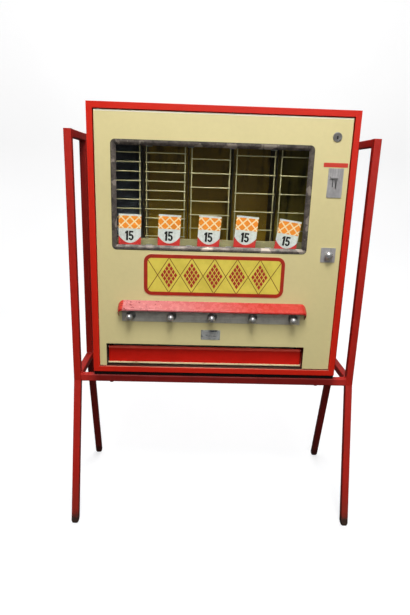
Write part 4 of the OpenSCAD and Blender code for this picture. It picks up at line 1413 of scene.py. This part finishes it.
    def _number(self) -> Mesh:
        """Cuts a card's number out of thin ink.

        Returns:
            The number's mesh, in the card's own frame.
        """
        bm = bmesh.new()
        across, up = self.digit_place
        half_wide, half_tall = self.digit_middle
        tall = self.digit_height
        for outline in self._digits():
            points = [(across + (x - half_wide) * tall, 0.0, up + (z - half_tall) * tall) for x, z in outline]
            back = bm.faces.new([bm.verts.new(point) for point in points])
            front = bmesh.ops.extrude_face_region(bm, geom=[back], use_keep_orig=True)["geom"]
            moved = [g for g in front if isinstance(g, bmesh.types.BMVert)]
            bmesh.ops.translate(bm, verts=moved, vec=(0, -self.ink_thickness, 0))
        bmesh.ops.triangulate(bm, faces=bm.faces)
        bmesh.ops.recalc_face_normals(bm, faces=bm.faces)
        return bm

    def _coin_marks(self) -> None:
        """Adds the bare label over the coin plate, and a dark plate in its groove as painted shade."""
        f = self.finishes
        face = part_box("door_panel")[0].y
        coin = middle("coin_plate")
        label = self.label.mesh(coin.x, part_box("coin_plate")[1].z, face - self.plate_thickness, face)
        Forms.fitted("coin_label", label, f.label, "door", "cabinet_red")
        # The dark plate in the groove is painted shade.
        floor = face - self.groove_proud
        groove = self.groove.mesh(coin.x, coin.z, floor - self.groove_shade, floor)
        Forms.fitted("coin_groove_shade", groove, f.ink, "door", "coin_metal")

    def _data_plate(self) -> None:
        """Adds the data plate with its blank fields and four rivets."""
        f = self.finishes
        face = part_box("door_panel")[0].y
        front = face - self.plate_thickness
        x, z = middle("pull_strip").x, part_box("pull_strip")[0].z
        Forms.fitted("data_plate", self.data.mesh(x, z, front, face), f.data, "door", "coin_metal")
        x, z = x + self.data.offset[0], z + self.data.offset[1]
        for number, blank in enumerate(self.data_fields, 1):
            bm = blank.mesh(x, z, front - self.field_thickness, front)
            Forms.fitted(f"data_plate_field_{number}", bm, f.zinc, "door", "coin_metal")
        across, up = (side / 2 - self.rivet_inset for side in self.data.size)
        for number, (sx, sz) in enumerate(((-1, -1), (-1, 1), (1, -1), (1, 1)), 1):
            at = Vector((x + sx * across, front, z + sz * up))
            rivet = Forms.lathe(self.rivet_dome, at, self.rivet_steps)
            Forms.fitted(f"data_plate_rivet_{number}", rivet, f.zinc, "door", "zinc_steel")

    def _button_spring(self) -> None:
        """Winds the spring of the coin return button."""
        low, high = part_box("return_button_spring")
        axis = middle("return_button_spring")
        radius = (high.x - low.x) / 2 - self.button_wire
        bm = Forms.coil(axis, radius, self.button_wire, low.y, high.y, self.button_turns)
        piece = Forms.piece("return_button_coil", bm, self.finishes.zinc)
        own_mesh(piece)
        Forms.finish(piece, "door", "zinc_steel", "return_button_spring")


@dataclass(frozen=True)
class Lamp:
    """A soft square light: where it hangs, where it looks, its side and its watts."""

    name: str
    place: Triple
    aim: Triple
    size: float
    power: float
    reflected: bool = True

    def hang(self) -> None:
        """Puts the light into the scene."""
        data = bpy.data.lights.new(self.name, "AREA")
        data.size = self.size
        data.energy = self.power
        lamp = bpy.data.objects.new(self.name, data)
        bpy.context.scene.collection.objects.link(lamp)
        lamp.location = self.place
        lamp.rotation_euler = (Vector(self.aim) - Vector(self.place)).to_track_quat("-Z", "Y").to_euler()
        lamp.visible_glossy = self.reflected
        lamp.visible_transmission = self.reflected


@dataclass
class Studio:
    """The camera, the pale floor and the soft lights."""

    camera_at: Triple = (-0.0758, -1.4093, 1.0005)
    yaw: float = 1.802
    pitch: float = 15.458
    roll: float = 1.859
    focal_pixels: float = 486.52
    long_side_pixels: int = 615
    sensor: float = 36.0
    far_clip: float = 50.0
    low_glow: Colour = (0.035, 0.035, 0.035)
    high_glow: Colour = (0.22, 0.23, 0.25)
    floor_radius: float = 2.4
    floor_bend: float = 1.2
    floor_steps: int = 72
    bend_steps: int = 12
    wall_height: float = 5.0
    main_slice: tuple[int, int] = (58, 122)
    front_slice: tuple[int, int] = (50, 58)
    lamps: tuple[Lamp, ...] = (
        Lamp("key_light", (0.0, -1.35, 2.75), (0.0, -0.1, 0.75), 0.9, 50.0),
        Lamp("ceiling_light", (-0.42, 0.25, 2.8), (-0.4, 0.2, 0.0), 0.75, 13.0),
        Lamp("backdrop_light", (0.0, 1.7, 3.1), (0.0, 3.2, 0.8), 2.4, 60.0),
        Lamp("fill_light", (0.5, -2.6, 1.9), (0.0, 0.0, 0.6), 1.8, 26.0, reflected=False),
        Lamp("rear_light", (0.6, 2.2, 2.1), (0.0, 0.1, 0.75), 1.4, 20.0, reflected=False),
    )

    def build(self) -> None:
        """Sets up everything that isn't the object."""
        bpy.context.scene.view_settings.view_transform = "Standard"
        self._camera()
        self._stage()
        self._lights()

    def _camera(self) -> None:
        """Places the camera where the picture was taken from."""
        a, e, r = (math.radians(v) for v in (self.yaw, self.pitch, self.roll))
        ahead = Vector((math.sin(a) * math.cos(e), math.cos(a) * math.cos(e), -math.sin(e)))
        right = Vector((math.cos(a), -math.sin(a), 0))
        up = right.cross(ahead)
        x = right * math.cos(r) + up * math.sin(r)
        y = up * math.cos(r) - right * math.sin(r)
        data = bpy.data.cameras.new("view")
        data.sensor_width = self.sensor
        data.lens = self.focal_pixels / self.long_side_pixels * self.sensor
        data.clip_end = self.far_clip
        camera = bpy.data.objects.new("view", data)
        bpy.context.scene.collection.objects.link(camera)
        turn = Matrix((x, y, -ahead)).transposed().to_4x4()
        camera.matrix_world = Matrix.Translation(self.camera_at) @ turn
        bpy.context.scene.camera = camera

    def _bowl(self, first: int, last: int) -> Mesh:
        """Makes a slice of the round floor, which curves up into a wall.

        Args:
            first: The slice's first step round the floor.
            last: Its last step.

        Returns:
            The slice's mesh.
        """
        profile = [(0.0, 0.0)]
        for k in range(self.bend_steps + 1):
            t = math.pi / 2 * k / self.bend_steps
            profile.append((self.floor_radius + self.floor_bend * math.sin(t),
                            self.floor_bend * (1 - math.cos(t))))
        profile.append((self.floor_radius + self.floor_bend, self.wall_height))
        turns = [2 * math.pi * k / self.floor_steps for k in range(first, last + 1)]
        bm = bmesh.new()
        rings = [[bm.verts.new((r * math.cos(a), r * math.sin(a), z)) for a in turns] for r, z in profile]
        for a, b in zip(rings, rings[1:]):
            for k in range(1, len(turns)):
                bm.faces.new((a[k], a[k - 1], b[k - 1], b[k]))
        bmesh.ops.remove_doubles(bm, verts=bm.verts, dist=SAME_POINT)
        return bm

    def _stage(self) -> None:
        """Makes the pale floor, whose front slice stays out of the window glass."""
        material = PaleFloor("pale_floor").build()
        floor = Forms.piece("studio_floor", self._bowl(*self.main_slice), material)
        front = Forms.piece("studio_floor_front", self._bowl(*self.front_slice), material)
        front.visible_transmission = False
        for piece in (floor, front):
            piece.visible_diffuse = False
            piece.visible_glossy = False
            piece.visible_shadow = False

    def _lights(self) -> None:
        """Hangs the soft lights and sets the surroundings, pale above and dim below."""
        world = bpy.data.worlds.new("surroundings")
        world.use_nodes = True
        w = Wiring(world.node_tree)
        height = w.dot(w.add("ShaderNodeTexCoord").outputs["Generated"], UP)
        sky = w.mix(w.remap(height, -0.1, 0.8), self.low_glow, self.high_glow)
        w.put(world.node_tree.nodes["Background"].inputs["Color"], sky)
        bpy.context.scene.world = world
        for lamp in self.lamps:
            lamp.hang()


def main() -> None:
    """Builds the studio and dresses every sub-assembly in turn."""
    logging.basicConfig(level=logging.INFO, format="%(name)s: %(message)s")
    finishes = Finishes()
    Studio().build()
    for assembly in (TubeStand(finishes), Cabinet(finishes), PullGear(finishes), Door(finishes)):
        assembly.build()


if __name__ == "__main__":
    main()
